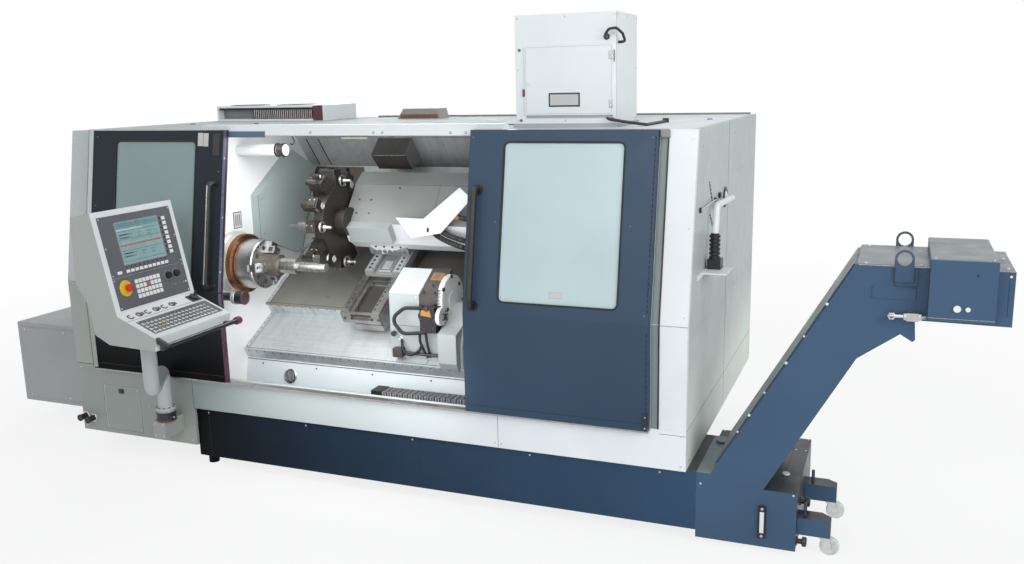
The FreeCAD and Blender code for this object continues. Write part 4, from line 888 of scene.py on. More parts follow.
# Painted shade: the recess beside the right door, coloured dark grey-green.
kit.between("jamb painted shade", FRONT, 3757, 3792, 586, 1117, 0, 3)
kit.between("jamb painted shade", LEAN, 3757, 3792, 2, 900, 0, 3)
kit.between("satin black", FRONT, 3792, 3798, 586, 1118, 0, 9, 1)
kit.between("satin black", LEAN, 3792, 3798, 0, 904, 0, 9, 1)
kit.between("bar grey", LEAN, 3757, 3802, 904, 944, 0, 26, 3)
kit.between("guide blue", LEAN, 1177, 1459, 904, 937, 7.2, 7.92, 0.2)
kit.between("line blue", LEAN, 1177, 1459, 937, 941.5, 7.2, 7.92, 0.2)
for plane, low, high in ((FRONT, 592, CREASE), (LEAN, 0, 944)):
    kit.between("column light", plane, 192, 199.3, low, high, -0.5, 57, 1)
    kit.between("column light", plane, 192, 232, low, high, 54, 57, 1)
for x, s in ((1763, 931), (2167, 930), (2222, 930), (2631, 930), (2720, 930)):
    kit.turned("gasket black", LEAN.matrix(x, s, 7.4), [(7, 0), (7, 0.5), (5, 0.55), (4.2, 0.1), (0, 0.05)],
        16)
kit.between("yellow strip", LEAN, 1965, 2130, 897, 905, 0, 7.9)
kit.between("column grey", LEAN, 2523, 2727, 967, 973, -0.5, 2)
kit.seam(FRONT, (0, 586, 908, 586), width=2.4)
kit.seam(FRONT, (139, 586, 139, CREASE))
kit.seam(LEAN, (139, 0, 139, 905))
kit.seam(FRONT, (0, CREASE, 200, CREASE), width=1.6)
kit.seam(FRONT, (3782, 1114, LENGTH, 1114), (3800, 560, LENGTH, 560), (909, 378, 909, 574),
    (2928, 378, 2928, 574))
kit.seam(ROOF, (200, 240, 3780, 240))
kit.between("jamb painted shade", ROOF, 1100, 3900, 2088, 2110, -0.5, 12, 2)
for x in (1000, 1925, 2905):
    kit.seam(ROOF, (x, 242, x, 2110))
kit.seam(ROOF, (935, 1480, 1081, 2108), (1081, 1480, 1205, 2108), width=3)
for x, y in ((779, 997), (250, 997), (1130, 700), (2760, 700), (3780, 1300)):
    kit.turned("satin black", ROOF.matrix(x, y, 0), [(17, -0.5), (17, 3), (14, 5), (5, 5), (4, 3), (0, 3)],
        20)
kit.screws("fork zinc", FRONT, [(30, 560), (880, 560), (30, 166), (880, 166), (560, 350), (930, 400),
    (930, 558), (3910, 400), (3910, 558), (2910, 400), (2946, 400)])
kit.screws("fork zinc", LEAN, [(24, 40), (24, 470), (24, 900), (3915, 40), (3915, 470), (3915, 900)])
kit.screws("fork zinc", ROOF, [(x, y) for x in (60, 960, 1040, 1890, 1960, 2870) for y in (300, 1400, 2080)],
    6)
for x, z in ((31, 233), (93, 224)):
    kit.turned("fork zinc", FRONT.matrix(x, z, 0), [(30, -0.5), (30, 8), (27, 10), (21, 10), (20, 8)], 6)
    kit.turned("satin black", FRONT.matrix(x, z, 52),
        [(20.5, 0), (22, 1), (22, 9), (20, 10.5), (12, 10.5), (11, 4), (0, 4)], 24)
kit.fit()
kit = Kit("access_trim", "access_door")
kit.seam(FRONT, (202, 169, 486, 169, 486, 456), out=0.2, finish="side grey")
# The white line along the top and left edge is a painted highlight.
kit.seam(FRONT, (486, 457, 202, 457, 202, 169), out=0.4, width=2.4, finish="key white")
kit.screws("fork zinc", FRONT, [(212, 182), (474, 182), (212, 444), (474, 444)], 5, 0, 2.5)
kit.between("satin black", FRONT, 325, 362, 412, 440, 0, 9, 2)
kit.fit()

# %% [markdown]
# ## Right end and sides
# The right end shows two dark slotted openings, a thin rod and the flange of the coolant
# gun's pipe. The back has louvres and bolted covers, as such cabinets need for air and
# service, kept plain because no view of them is known.

# %% Side and back fittings
kit = Kit("side_trim", "machine")
for y0, y1, z0, z1 in ((470, 560, 1655, 1765), (500, 660, 1457, 1593)):
    kit.plate("gasket black", RIGHT_SIDE, [(y0, z1), (y0 + 26, z1 + 4), (y1 + 26, z0 + 4), (y1, z0)], -0.4,
        1.0)
    for step in range(5):
        t = (step + 0.5) / 5
        kit.slab("side grey", RIGHT_SIDE.matrix(y0 + 13 + (y1 - y0) * t, z1 + 2 + (z0 - z1) * t, 0.4), 30, 5,
            1.6, 0.5)
kit.hose("holder steel", [(3941, 240, 1652), (3941, 440, 1655), (3941, 640, 1657)], 5)
for box in ((225, 250, 1640, 1664, 0, 10), (628, 650, 1646, 1668, 0, 10), (752, 790, 1652, 1680, 0, 12, 2)):
    kit.between("satin black", RIGHT_SIDE, *box)
kit.turned("satin black", RIGHT_SIDE.matrix(960, 1634, 0), [(58, -0.5), (58, 5), (54, 7), (40, 7), (38, 5)],
    36)
kit.screws("fork zinc", RIGHT_SIDE, [(1277, 1974), (1348, 1761), (1329, 1067), (1099, 933), (2080, 420),
    (2080, 1200), (2080, 1960), (60, 420), (60, 900), (300, 1960)], 6)
kit.seam(RIGHT_SIDE, (1060, 380, 1060, 2047))
kit.seam(RIGHT_SIDE, (2, 583, 2110, 583), width=1.6)
kit.seam(LEFT_SIDE, (1050, 730, 1050, 2047))
kit.screws("fork zinc", LEFT_SIDE, [(30, 200), (30, 1100), (30, 2000), (1020, 800), (1020, 2000),
    (1080, 800), (1080, 2000), (2060, 200), (2060, 1000)], 6)
kit.seam(BACK, (985, 380, 985, 2015), (1960, 380, 1960, 2015), (2940, 380, 2940, 2015), width=2.4)
for left in (260, 3200):
    kit.between("box grey", BACK, left, left + 460, 1180, 1560, -0.5, 3, 1)
    for step in range(12):
        kit.plate("side grey", Plane((LENGTH, DEPTH + 3, 1200 + step * 29), (-1, 0, 0), (0, 12, 22)),
            [(left + 25, 0), (left + 435, 0), (left + 435, 24), (left + 25, 24)], 0, 1.5)
    kit.screws("fork zinc", BACK, [(left + 14, 1194), (left + 446, 1194), (left + 14, 1546),
        (left + 446, 1546)], 6, 3, 3)
kit.between("box grey", BACK, 1250, 1720, 520, 1240, -0.5, 4, 1)
kit.between("box grey", BACK, 2180, 2700, 520, 1240, -0.5, 4, 1)
kit.screws("fork zinc", BACK, [(x, z) for x in (1270, 1700, 2200, 2680) for z in (540, 880, 1220)], 6, 4, 3)
kit.screws("fork zinc", BACK, [(x, z) for x in (20, 965, 1005, 1940, 1980, 2920, 2960, 3915)
    for z in (400, 1200, 1990)], 6)
kit.between("box grey", FRONT, -800, -50, 180, 690, -300.5, -297, 1)
kit.screws("fork zinc", FRONT, [(-780, 200), (-70, 200), (-780, 670), (-70, 670), (-425, 670), (-425, 200)],
    6, -297, 3)
kit.seam(UPWARD, (-845, 800, -5, 800), out=720)
kit.fit()


# %% [markdown]
# ## Operator pendant
# The pendant is a folded grey housing with a dark panel. Its screen shows pale teal with
# darker bands and rows and one red line, drawn here as thin bare bars with no words. Keys
# and switches are solids already, so most of them only change finish where they stand
# proud of the board. A yellow collar rings the stop button, and a dark red cap and a thin
# bright steel line of painted highlight finish the black grip.

# %% Panel finishes
coated("screen teal", (0.25, 0.37, 0.375), 0.30, 0.03, 0.0, 0.05, coat=0.4)
coated("screen band", (0.16, 0.30, 0.34), 0.30, 0.02, 0.0, 0.05)
coated("screen row", (0.62, 0.72, 0.70), 0.30, 0.02, 0.0, 0.05)
coated("key red", (0.55, 0.12, 0.09), 0.4)
glow = FINISH["screen teal"].node_tree
feed(glow, glow.nodes["Principled BSDF"], Emission_Color=(0.30, 0.46, 0.45, 1), Emission_Strength=0.12)


def on_plane(plane, spot):
    """Right, up and out of a drawing point, seen from a plane."""
    gap = spot - plane.start
    return gap.dot(plane.right), gap.dot(plane.up), gap.dot(plane.out)


def key_test(plane, r0, r1, u0, u1, o0=0.6, o1=40.0):
    """A face test: is the middle of the face in this part of a plane?"""
    def test(spot, _):
        r, u, o = on_plane(plane, spot)
        return r0 < r < r1 and u0 < u < u1 and o0 < o < o1
    return test


def every_second_key(spot, _):
    """A face test for every second key of the shelf's upper row."""
    right = on_plane(PANEL_SHELF, spot)[0]
    return key_test(PANEL_SHELF, 40, 400, 205, 240, 1)(spot, _) and (right - 29) // 62 % 2 == 0


for finish, face, *box in (
        ("screen teal", PANEL_FACE, 139, 459, 247, 475, 0.4, 3),
        ("key white", PANEL_FACE, 170, 380, 50, 168, 2.2),
        ("key white", PANEL_FACE, 480, 516, 250, 480, 2.2),
        ("key white", PANEL_FACE, 136, 456, 200, 228, 2.2),
        ("key red", PANEL_FACE, 258, 282, 112, 140, 2.2),
        ("signal yellow", PANEL_FACE, 78, 138, 100, 160, 2.2),
        ("keyboard olive", PANEL_SHELF, 40, 576, 34, 168, -1, 2.6)):
    coat_where("pendant_panel", finish, key_test(face, *box))
coat_where("pendant_panel", "key white", every_second_key)

# %% Screen, rings, bolts and grip trim
kit = Kit("pendant_trim", "pendant")
kit.gasket("bar grey", PANEL_FACE, 140, 458, 248, 474, 0.8, 3.0, 4, 6)
kit.between("screen band", PANEL_FACE, 146, 452, 446, 468, 0.9, 1.5, 0.2)
for v in (440, 422, 378, 318, 262):
    kit.between("screen band", PANEL_FACE, 146, 452, v, v + 3, 0.9, 1.4, 0.2)
kit.between("screen row", PANEL_FACE, 146, 330, 428, 434, 0.9, 1.3, 0.2)
for row, (left, right) in enumerate(((150, 210), (150, 240), (270, 300), (330, 380))):
    for v in (402, 386, 302, 286):
        kit.between("screen band", PANEL_FACE, left + row * 9, right + v % 5 * 7, v, v + 6, 0.9, 1.3, 0.2)
kit.between("line blue", PANEL_FACE, 146, 452, 358, 362, 0.9, 1.5, 0.2)
kit.between("signal red", PANEL_FACE, 146, 452, 346, 351, 0.9, 1.5, 0.2)
for row in range(4):
    for column in range(17):
        finish = "key yellow" if (row, column) in ((1, 2), (1, 3), (3, 16)) else "key white"
        kit.slab(finish, PANEL_SHELF.matrix(58 + 29.5 * column, 50 + 27 * row, 4), 22, 18, 1.6, 0.5)
for row in range(8):
    kit.slab("satin black", PANEL_FACE.matrix(472, 269 + row * 27, 1.5), 12, 9, 3.5)
for column in range(10):
    kit.slab("satin black", PANEL_FACE.matrix(150 + column * 32, 236, 1.5), 9, 6, 3)
kit.turned("signal yellow", PANEL_FACE.matrix(108, 130, 1.6),
    [(43, 0), (43, 2.5), (41, 4), (27.4, 4), (27.2, 0)], 36)
for u, v in ((425, 140), (488, 140)):
    kit.turned("bar grey", PANEL_FACE.matrix(u, v, 1.6), [(29, 0), (29, 1.5), (27, 2.4), (22, 2.4), (21, 0)],
        32)
for u, finish in ((440, "key red"), (462, "key green"), (500, "key red"), (530, "key green"),
        (548, "key white")):
    kit.slab(finish, PANEL_FACE.matrix(u, 82, 1.6), 11, 9, 3, 1)
kit.between("key white", PANEL_FACE, 78, 110, 207, 223, 1.6, 3.4, 0.6)
kit.screws("fork zinc", PANEL_FACE, [(u, v) for u in (45, 555) for v in (32, 180, 204, 350, 505)], 5, 1.6, 2)
kit.screws("fork zinc", PANEL_SHELF, [(u, v) for u in (48, 567) for v in (42, 160)], 4, 1.6, 2)
kit.slab("satin black", PANEL_SHELF.matrix(540, 216, 0), 78, 64, 4, 2)
for column in range(6):
    kit.turned("satin black", PANEL_SHELF.matrix(60 + 62 * column, 222, -0.4),
        [(19, 0), (19, 2.6), (17, 3.4), (17, 1.6), (15, 2.4), (12.5, 2.4), (12, 0)], 24)
kit.seam(PANEL_SHELF, (2, 190, 594, 190))
# A thin bright steel rod along the grip stands in for its highlight line: painted highlight.
kit.hose("ground steel", [(1411, -744, 1009.5), (1411, -450, 1009.5), (1411, -160, 1009.5)], 2.6)
kit.turned("seal maroon", Plane((1402, -140, 1000), (0, 0, 1), (1, 0, 0)).matrix(0, 0, -22),
    [(13.4, 0), (21, 2), (22, 8), (22, 34), (19, 40), (8, 41), (6, 37), (0, 37)], 32)
kit.plate("satin black", facing_front(-757), [(1374, 1052), (1374, 1020), (1398, 1012), (1440, 1010),
    (1446, 1018), (1410, 1036)], -20, -0.5)
kit.turned("satin black", facing_front(-745, 1402, 1000).matrix(0, 0, -3),
    [(13.4, 0), (16, 1), (16, 8), (13.5, 9.5), (0, 9.5)], 24)
PENDANT_SIDE = Plane((0, -161, 0), (-1, 0, 0), (0, 0, 1))
kit.screws("fork zinc", PENDANT_SIDE, [(-905, 1330), (-1010, 1640), (-960, 1200), (-1120, 1020),
    (-1330, 1010)], 5, 0, 2.5)
kit.seam(PENDANT_SIDE, (-930, 1300, -1040, 1600))
kit.turned("satin black", UPWARD.matrix(1032, -458, 1030.5), [(64, 0), (64, 2), (46, 3)], 36)
kit.fit()
kit = Kit("column_bolts", "pendant_arm")
COLUMN, SWIVEL = (790, -110), (1032, -458)
kit.screws("satin black", UPWARD, [around(COLUMN, 50, turn) for turn in range(12, 360, 36)], 4.5, 411, 4)
kit.turned("arm grey", UPWARD.matrix(*COLUMN, 411), [(49, 0), (46, 2), (43, 12), (42, 12)], 36)
kit.turned("arm grey", UPWARD.matrix(*SWIVEL, 938), [(42.2, 0), (52, 2), (55, 12), (42, 12)], 36)
kit.fit()
kit = Kit("column_clamp", "machine")
kit.turned("satin black", UPWARD.matrix(*COLUMN, 336), [(54, 0), (57, 1), (57, 46), (54, 47)], 40)
kit.slab("satin black", facing_right(845, -130, 358).matrix(0, 0, -3), 34, 30, 20, 3)
kit.turned("holder steel", facing_right(862, -130, 358).matrix(0, 0, -2),
    [(7, 0), (7, 7), (5.5, 9), (3.5, 9), (3, 4), (0, 4)], 12)
kit.turned("bracket red brown", UPWARD.matrix(*COLUMN, 324), [(56, 0), (60, 2), (60, 10), (55, 12)], 40)
kit.screws("fork zinc", FRONT, [(744, 240), (806, 240), (744, 312), (806, 312)], 5, 164, 3)
kit.fit()

# %% [markdown]
# ## Chip conveyor and coolant tank
# The conveyor's incline has bolted covers with pale screws along its edge, a head with a
# bare plate, and a bolt rod that tensions the belt. The tank carries a level gauge, whose
# white window is read from outside, black knobs and a white plug.

# %% Conveyor fittings
TANK_FRONT = facing_front(21)
TANK_TOP, HEAD_TOP, DRIVE_TOP = 328, 1463, 1512
kit = Kit("conveyor_trim", "machine")
coated("cover brown", (0.20, 0.15, 0.12), 0.42)
coated("vent brown", (0.30, 0.15, 0.06), 0.45)
coated("latch red", (0.30, 0.025, 0.06), 0.35)
kit.screws("key white", TANK_FRONT, [(4232, 700), (4394, 975), (4564, 1269)], 7)
kit.screws("key white", TANK_FRONT, [(4180, 610), (4300, 820), (4470, 1110)])
kit.seam(TANK_FRONT, (4842, 1456, 4842, 1376, 4938, 1376, 4938, 1456), out=22, width=2.4)
kit.seam(TANK_FRONT, (4690, 1459, 4990, 1459), width=3, finish="holder steel")
kit.between("gasket black", TANK_FRONT, 4290, 4328, 80, 246, -0.5, 14, 3)
kit.between("key white", TANK_FRONT, 4299, 4319, 108, 218, 12, 15.5, 2)
kit.screws("ground steel", TANK_FRONT, [(4309, 92), (4309, 234)], 7, 13.5, 4)
kit.turned("key white", UPWARD.matrix(4391, 253, TANK_TOP), [(20, -0.5), (20, 4), (17, 7), (0, 7.5)], 32)
for y, z in ((190, 222), (190, 130), (60, 70)):
    kit.turned("satin black", facing_right(4468, y, z).matrix(),
        [(22, -0.5), (22, 6), (13, 8), (13, 26), (24, 30), (24, 46), (19, 50), (0, 50)], 24)
kit.seam(UPWARD, (4390, 22, 4390, 780), out=TANK_TOP)
kit.screws("key white", TANK_FRONT, [(4006, 318), (4452, 318)])
kit.screws("fork zinc", UPWARD, [(x, y) for x in (4000, 4375, 4405, 4455) for y in (600, 765)], 6, TANK_TOP)
kit.screws("fork zinc", TANK_FRONT, [(x, 350) for x in range(1000, 3801, 700)])
kit.seam(TANK_FRONT, (1000, 70, 1000, 374), (2450, 70, 2450, 374))
DRIVE_FRONT = facing_front(-55)
kit.screws("gasket black", DRIVE_FRONT, [(5168, 1448)], 5, 0, 1)
kit.seam(DRIVE_FRONT, (4984, 1254, 5245, 1254), finish="holder steel")
kit.seam(DRIVE_FRONT, (4982, 1256, 4982, 1508))
kit.seam(TANK_FRONT, (5296, 1262, 5296, 1450))
kit.screws("key white", TANK_FRONT, [(5300, 1436)], 6)
kit.screws("key white", UPWARD, [(4720, 50), (4720, 520), (4950, 50), (4950, 400), (5290, 60), (5290, 300)],
    7, HEAD_TOP)
kit.screws("fork zinc", UPWARD, [(5003, -35), (5227, -35), (5003, 530), (5227, 530)], 5, DRIVE_TOP)
for x in (4839, 4920):
    kit.turned("holder steel", TANK_FRONT.matrix(x, 1240, 24), [(18, -0.5), (18, 9), (15, 11), (9, 11)], 6)
for plane in (facing_right(4950, -1, 1240), facing_left(4900, -1, 1240)):
    kit.turned("holder steel", plane.matrix(0, 0, -0.5), [(17, 0), (17, 12), (15, 13.5), (9, 13.5)], 6)
for y in (110, 540):
    for x0, y0 in ((4561, y - 26), (4613, y - 26), (4561, y + 26), (4613, y + 26)):
        kit.turned("fork zinc", UPWARD.matrix(x0, y0, 180), [(9, 0), (9, 7), (7, 9), (0, 9)], 6)
kit.fit()

# %% [markdown]
# ## Roof units
# The mist collector is a white sheet box with a hinged service door. Joints show where
# its side sheets meet, cap screws hold them, and a red lamp sits at its left. The heat
# exchanger has a dark recess with bronze fins, a dark red end and a white cover.

# %% Mist collector and heat exchanger
MIST_FRONT = facing_front(400)
MIST_RIGHT = facing_right(3465)
MIST_LEFT = facing_left(2912)
kit = Kit("mist_trim", "machine")
kit.screws("fork zinc", MIST_FRONT, [(2926, 2085), (3452, 2085), (2926, 2614), (3452, 2614), (2926, 2350),
    (3190, 2614), (3190, 2085), (3452, 2520)])
kit.screws("fork zinc", MIST_RIGHT, [(415, 2085), (795, 2085), (415, 2614), (795, 2614), (600, 2614),
    (795, 2350)])
kit.screws("fork zinc", MIST_LEFT, [(-415, 2085), (-795, 2085), (-415, 2614), (-795, 2614)])
kit.seam(MIST_RIGHT, (404, 2072, 404, 2628), finish="side grey")
kit.seam(UPWARD, (2914, 425, 3463, 425), out=2629)
kit.between("bar grey", MIST_FRONT, 2950, 2972, 2210, 2250, -0.4, 4, 2)
# Painted shadow: a dark strip under the service door's lower edge.
kit.between("plinth grey", MIST_FRONT, 2970, 3448, 2097, 2110, -0.3, 1.6, 0.5)
kit.between("latch red", MIST_FRONT, 2953, 2969, 2213, 2247, 3, 10, 3)
kit.screws("bar grey", MIST_FRONT, [(2936, 2452), (2940, 2086)], 8, 0, 4)
kit.between("bar grey", MIST_FRONT, 3453, 3458, 2380, 2440, 0, 3, 1)
kit.screws("bar grey", MIST_FRONT, [(3425, 2140), (3425, 2212), (3452, 2095)], 4)
for step in range(8):
    kit.plate("mist white", Plane((2912, 740, 2130 + step * 20), (0, -1, 0), (-8, 0, 14)),
        [(0, 0), (260, 0), (260, 16), (0, 16)], 0, 1.4)
kit.turned("satin black", facing_front(398, 3415, 2505).matrix(0, 0, -3),
    [(16, 0), (16, 6), (13, 8), (8, 8)], 24)
COOLER = facing_front(1500)
kit.between("seal maroon", COOLER, 905, 985, 2052, 2157, -1, 4, 1)
for x in range(388, 900, 17):
    kit.between("fork zinc", COOLER, x, x + 5, 2066, 2134, -22, -8, 0.6)
    if x % 3 == 0:
        kit.between("latch red", COOLER, x + 7, x + 13, 2070, 2096, -21, -9, 0.6)
kit.between("bar grey", COOLER, 80, 350, 2066, 2144, -56, -54, 1)
kit.between("gasket black", COOLER, 80, 905, 2130, 2145, -9, -3, 1)
kit.screws("fork zinc", COOLER, [(70, 2056), (70, 2151), (640, 2056), (975, 2104)])
COOLER_TOP = facing_up(2158)
kit.seam(COOLER_TOP, (380, 1502, 380, 1958))
kit.screws("fork zinc", COOLER_TOP, [(x, y) for x in (75, 365, 395, 970) for y in (1515, 1945)])
for x in (200, 620):
    kit.turned("turret dark", COOLER_TOP.matrix(x, 1730, 0),
        [(150, -0.5), (150, 2), (146, 4), (140, 4), (138, 1.5), (40, 1.5), (38, 5), (0, 6)], 48)
VENT_FRONT = facing_front(1750)
kit.plate("vent brown", VENT_FRONT, [(1468, 2052), (1780, 2052), (1774, 2080), (1484, 2080)], -0.4, 2)
for step in range(3):
    kit.between("cover brown", VENT_FRONT, 1484, 1770, 2056 + step * 8, 2059 + step * 8, 1, 4, 0.5)
kit.fit()
kit = Kit("mist_door_trim", "mist_door")
MIST_DOOR = facing_front(392)
kit.gasket("side grey", MIST_DOOR, 2974, 3441, 2121, 2462, -1, 0.6, 2, 10)
kit.screws("fork zinc", MIST_DOOR, [(3436, 2160), (3436, 2180), (3436, 2404), (3436, 2424)], 4, 0, 2.5)
kit.between("holder steel", MIST_DOOR, 3428, 3449, 2150, 2190, -0.4, 2.4, 1)
kit.between("holder steel", MIST_DOOR, 3428, 3449, 2394, 2434, -0.4, 2.4, 1)
kit.between("dark plate", MIST_DOOR, 3100, 3272, 2156, 2228, -0.3, 1.8, 1)
kit.between("bare plate", MIST_DOOR, 3108, 3264, 2164, 2220, 1.4, 2.4, 1)
kit.fit()


# %% [markdown]
# ## Work zone
# The work zone is where a lathe shows its working parts: riveted edges on the bed covers,
# a round sight glass, a lamp tube with black end rings, and the turret with its clamp
# screws and bright tool shanks. The upper and lower bed covers are separate sheets; the
# upper one is painted dark as shade under the turret and saddle, and paler towards its low
# edge as a painted reflection. Ribbed hoses run beside the flap of the cross slide's shroud.

# %% Finishes of the work zone
# Painted shade: the upper bed cover is dark under the turret and saddle, and paler towards its low edge as
# painted reflection.
coated("upper cover painted shade", (0.125, 0.12, 0.11), 0.34, 0.22, 0.3, 0.1, shine=0.6,
    painted_light_fades=(("Z", 890, 1090, (0.27, 0.265, 0.235)),))
machined("nose steel", (0.62, 0.655, 0.67), 0.36, (3.0, 240.0, 240.0), 0.35, 0.6)
coated("rod brown", (0.050, 0.040, 0.034), 0.40, 0.10, 0.3)
# The upper bed cover takes its painted shade.
coat_where("bed_covers", "upper cover painted shade", lambda p, n: p.y > 650 and p.z > 872)
coat_where("slant_bed", "nose steel", lambda p, n: n.y < -0.3)
coat_where("turret_disc", "slide steel", lambda p, n: p.x < 1470 and p.z < 1500 and from_turret(p) > 180)
# Painted light: the ceiling box's right faces get a paler grey than the rest.
coat_where("ceiling_box", "bar grey", lambda p, n: n.x > 0.8)
coat_where("spot_lamp", "seal maroon", lambda p, n: p.x > 1196)
coat_where("carriage_head", "rod brown", lambda p, n: p.x < 2376 and p.y > 447)

# %% Bed rivets, sight glass, lamp rings and wall plate
UPPER_NOSE = Plane((0, 716, 825), (1, 0, 0), (0, -58, 69))
LOWER_NOSE = Plane((0, 437, 592), (1, 0, 0), (0, -37, 64))
LIP = Plane((0, 404, 445), (1, 0, 0), (0, 33, 147))
SLOPE = Plane((0, 1290, 1750), (1, 0, 0), (0, -160, 198))
kit = Kit("work_zone_trim", "machine")
for plane, up in ((UPPER_NOSE, 74), (LOWER_NOSE, 60)):
    kit.screws("bed casting", plane, [(x, up) for x in range(1030, 3880, 62)], 4.5, 0, 2)
kit.screws("bed casting", BED, [(1014, s) for s in range(30, 660, 45)], 4.5, 0, 2)
kit.screws("bed casting", LOWER_BED, [(1014, s) for s in range(24, 350, 45)], 4.5, 0, 2)
kit.seam(BED, (1032, 6, 1032, 670), (1002, 14, 3900, 14), width=3)
kit.seam(LOWER_BED, (1032, 6, 1032, 350), (1002, 14, 3900, 14), width=3)
kit.seam(BED, (2600, 16, 2600, 670), width=2.4)
kit.seam(LOWER_BED, (2300, 16, 2300, 350), width=2.4)
kit.seam(LIP, (1002, 141, 3900, 141), width=5)
kit.screws("bed casting", LIP, [(x, 118) for x in range(1120, 3900, 400)], 6)
kit.turned("holder steel", LIP.matrix(1336, 56, 8), [(46, -1), (46, 2), (43, 4), (36, 4), (35, 1.5)], 40)
kit.turned("turret dark", LIP.matrix(1336, 56, 7.6), [(36, 0), (36, 1.6), (0, 2.2)], 40)
for aside in range(-25, 30, 10):
    tall = 2 * math.sqrt(32 ** 2 - aside ** 2)
    kit.slab("nose steel", LIP.matrix(1336 + aside, 56, 9), 3, tall, 1.6, 0.4)
for x in (1290, 1334):
    kit.turned("satin black", facing_right(x, 505, 1912).matrix(), [(36, 0), (43, 1), (43, 9), (36, 10)], 36)
kit.turned("cover white painted shade", facing_right(1350, 505, 1912).matrix(0, 0, -1), [(36, 0), (34, 3), (0, 5)], 36)
kit.hose("satin black", [(1352, 560, 2017), (1356, 572, 1990), (1356, 592, 1962), (1352, 578, 1940),
    (1348, 560, 1950)], 4)
kit.between("satin black", ALONG_X, 400, 480, 1427, 1530, 999.6, 1001.4, 1)
kit.between("bare plate", ALONG_X, 405, 475, 1432, 1525, 1001, 1002.4, 1)
for step in range(3):
    kit.between("bar grey", ALONG_X, 414 + step * 20, 424 + step * 20, 1444, 1512, 1002, 1003, 0.4)
for x in (1072, 1166):
    kit.between("gasket black", SLOPE, x, x + 9, 6, 248, -0.4, 1.6, 0.6)
    for step in range(12):
        kit.turned("holder steel", SLOPE.matrix(x - 14, 16 + step * 20, 0),
            [(4, -0.4), (4, 1), (2, 1.8), (0, 2)], 8)
kit.seam(SLOPE, (1166, 2, 3900, 2), width=3)
kit.seam(ALONG_X, (585, 1300, 585, 1620), out=1060)
kit.screws("holder steel", ALONG_X, [(620, 1590), (620, 1370), (960, 1850), (1180, 1640), (1010, 1200)], 6,
    1060, 3)
kit.turned("holder steel", facing_right(1133, 180, 1048).matrix(),
    [(40, 0), (43, 1.5), (43, 6), (40, 8), (43, 10), (43, 15), (40, 17), (43, 19), (43, 24), (40, 26)], 36)
kit.turned("lamp cap brown", facing_right(1213, 180, 1048).matrix(0, 0, -1),
    [(33, 0), (30, 1.4), (20, 3), (0, 4)], 32)
kit.turned("seal maroon", facing_right(1213, 180, 1048).matrix(0, 0, -4),
    [(41, 0), (43, 2), (42, 7), (34, 8), (33, 3)], 36)
kit.turned("nose iron", ALONG_X.matrix(*SPINDLE, 1039), [(184, 0), (186, 2), (186, 8), (183, 10)], 64)
kit.between("nose steel", BED, 1002, 1026, 16, 668, -0.4, 1.4, 0.6)
kit.between("rough bar", facing_front(1290), 1002, 1430, 1290, 1742, -0.4, 2, 1)
kit.turned("nose iron", ALONG_X.matrix(*SPINDLE, 1040), [(182, 0), (184.6, 1), (184.6, 30), (182.2, 31)], 96)
# Painted shadow: a thin black rod along the corner guard's edge, where it meets the wall.
kit.hose("satin black", [(1052, 1036, 1178), (1052, 1122, 1412), (1052, 1208, 1648)], 6)
CORNER, CORNER_LOW = (1889, 1029, 1843), (1889, 1123, 1749)
for ends in (((1641, 1029, 1843), CORNER), ((1641, 1123, 1749), CORNER_LOW), (CORNER, CORNER_LOW),
             (CORNER, (1889, 1129, 1947))):
    kit.hose("holder steel", ends, 1.6)
for x in (1090, 1180, 1300):
    kit.hose("gasket black", [(x, 1276, 1300), (x + 6, 1278, 1500), (x, 1276, 1735)], 9)
for x in range(2079, 3405, 17):
    kit.between("nose steel", FRONT, x, x + 5, 509, 559, -150.3, -147.4, 0.6)
    kit.between("holder steel", UPWARD, x, x + 4, 152, 238, 561.6, 563.6, 0.6)
kit.between("satin black", FRONT, 2072, 2144, 503, 566, -242, -146.5, 3)
kit.between("seal maroon", FRONT, 2112, 2150, 500, 530, -200, -145.8, 3)
kit.screws("gasket black", ALONG_X, [around(SPINDLE, 168, turn) for turn in range(8, 360, 30)], 5, 1105, 2)
kit.fit()

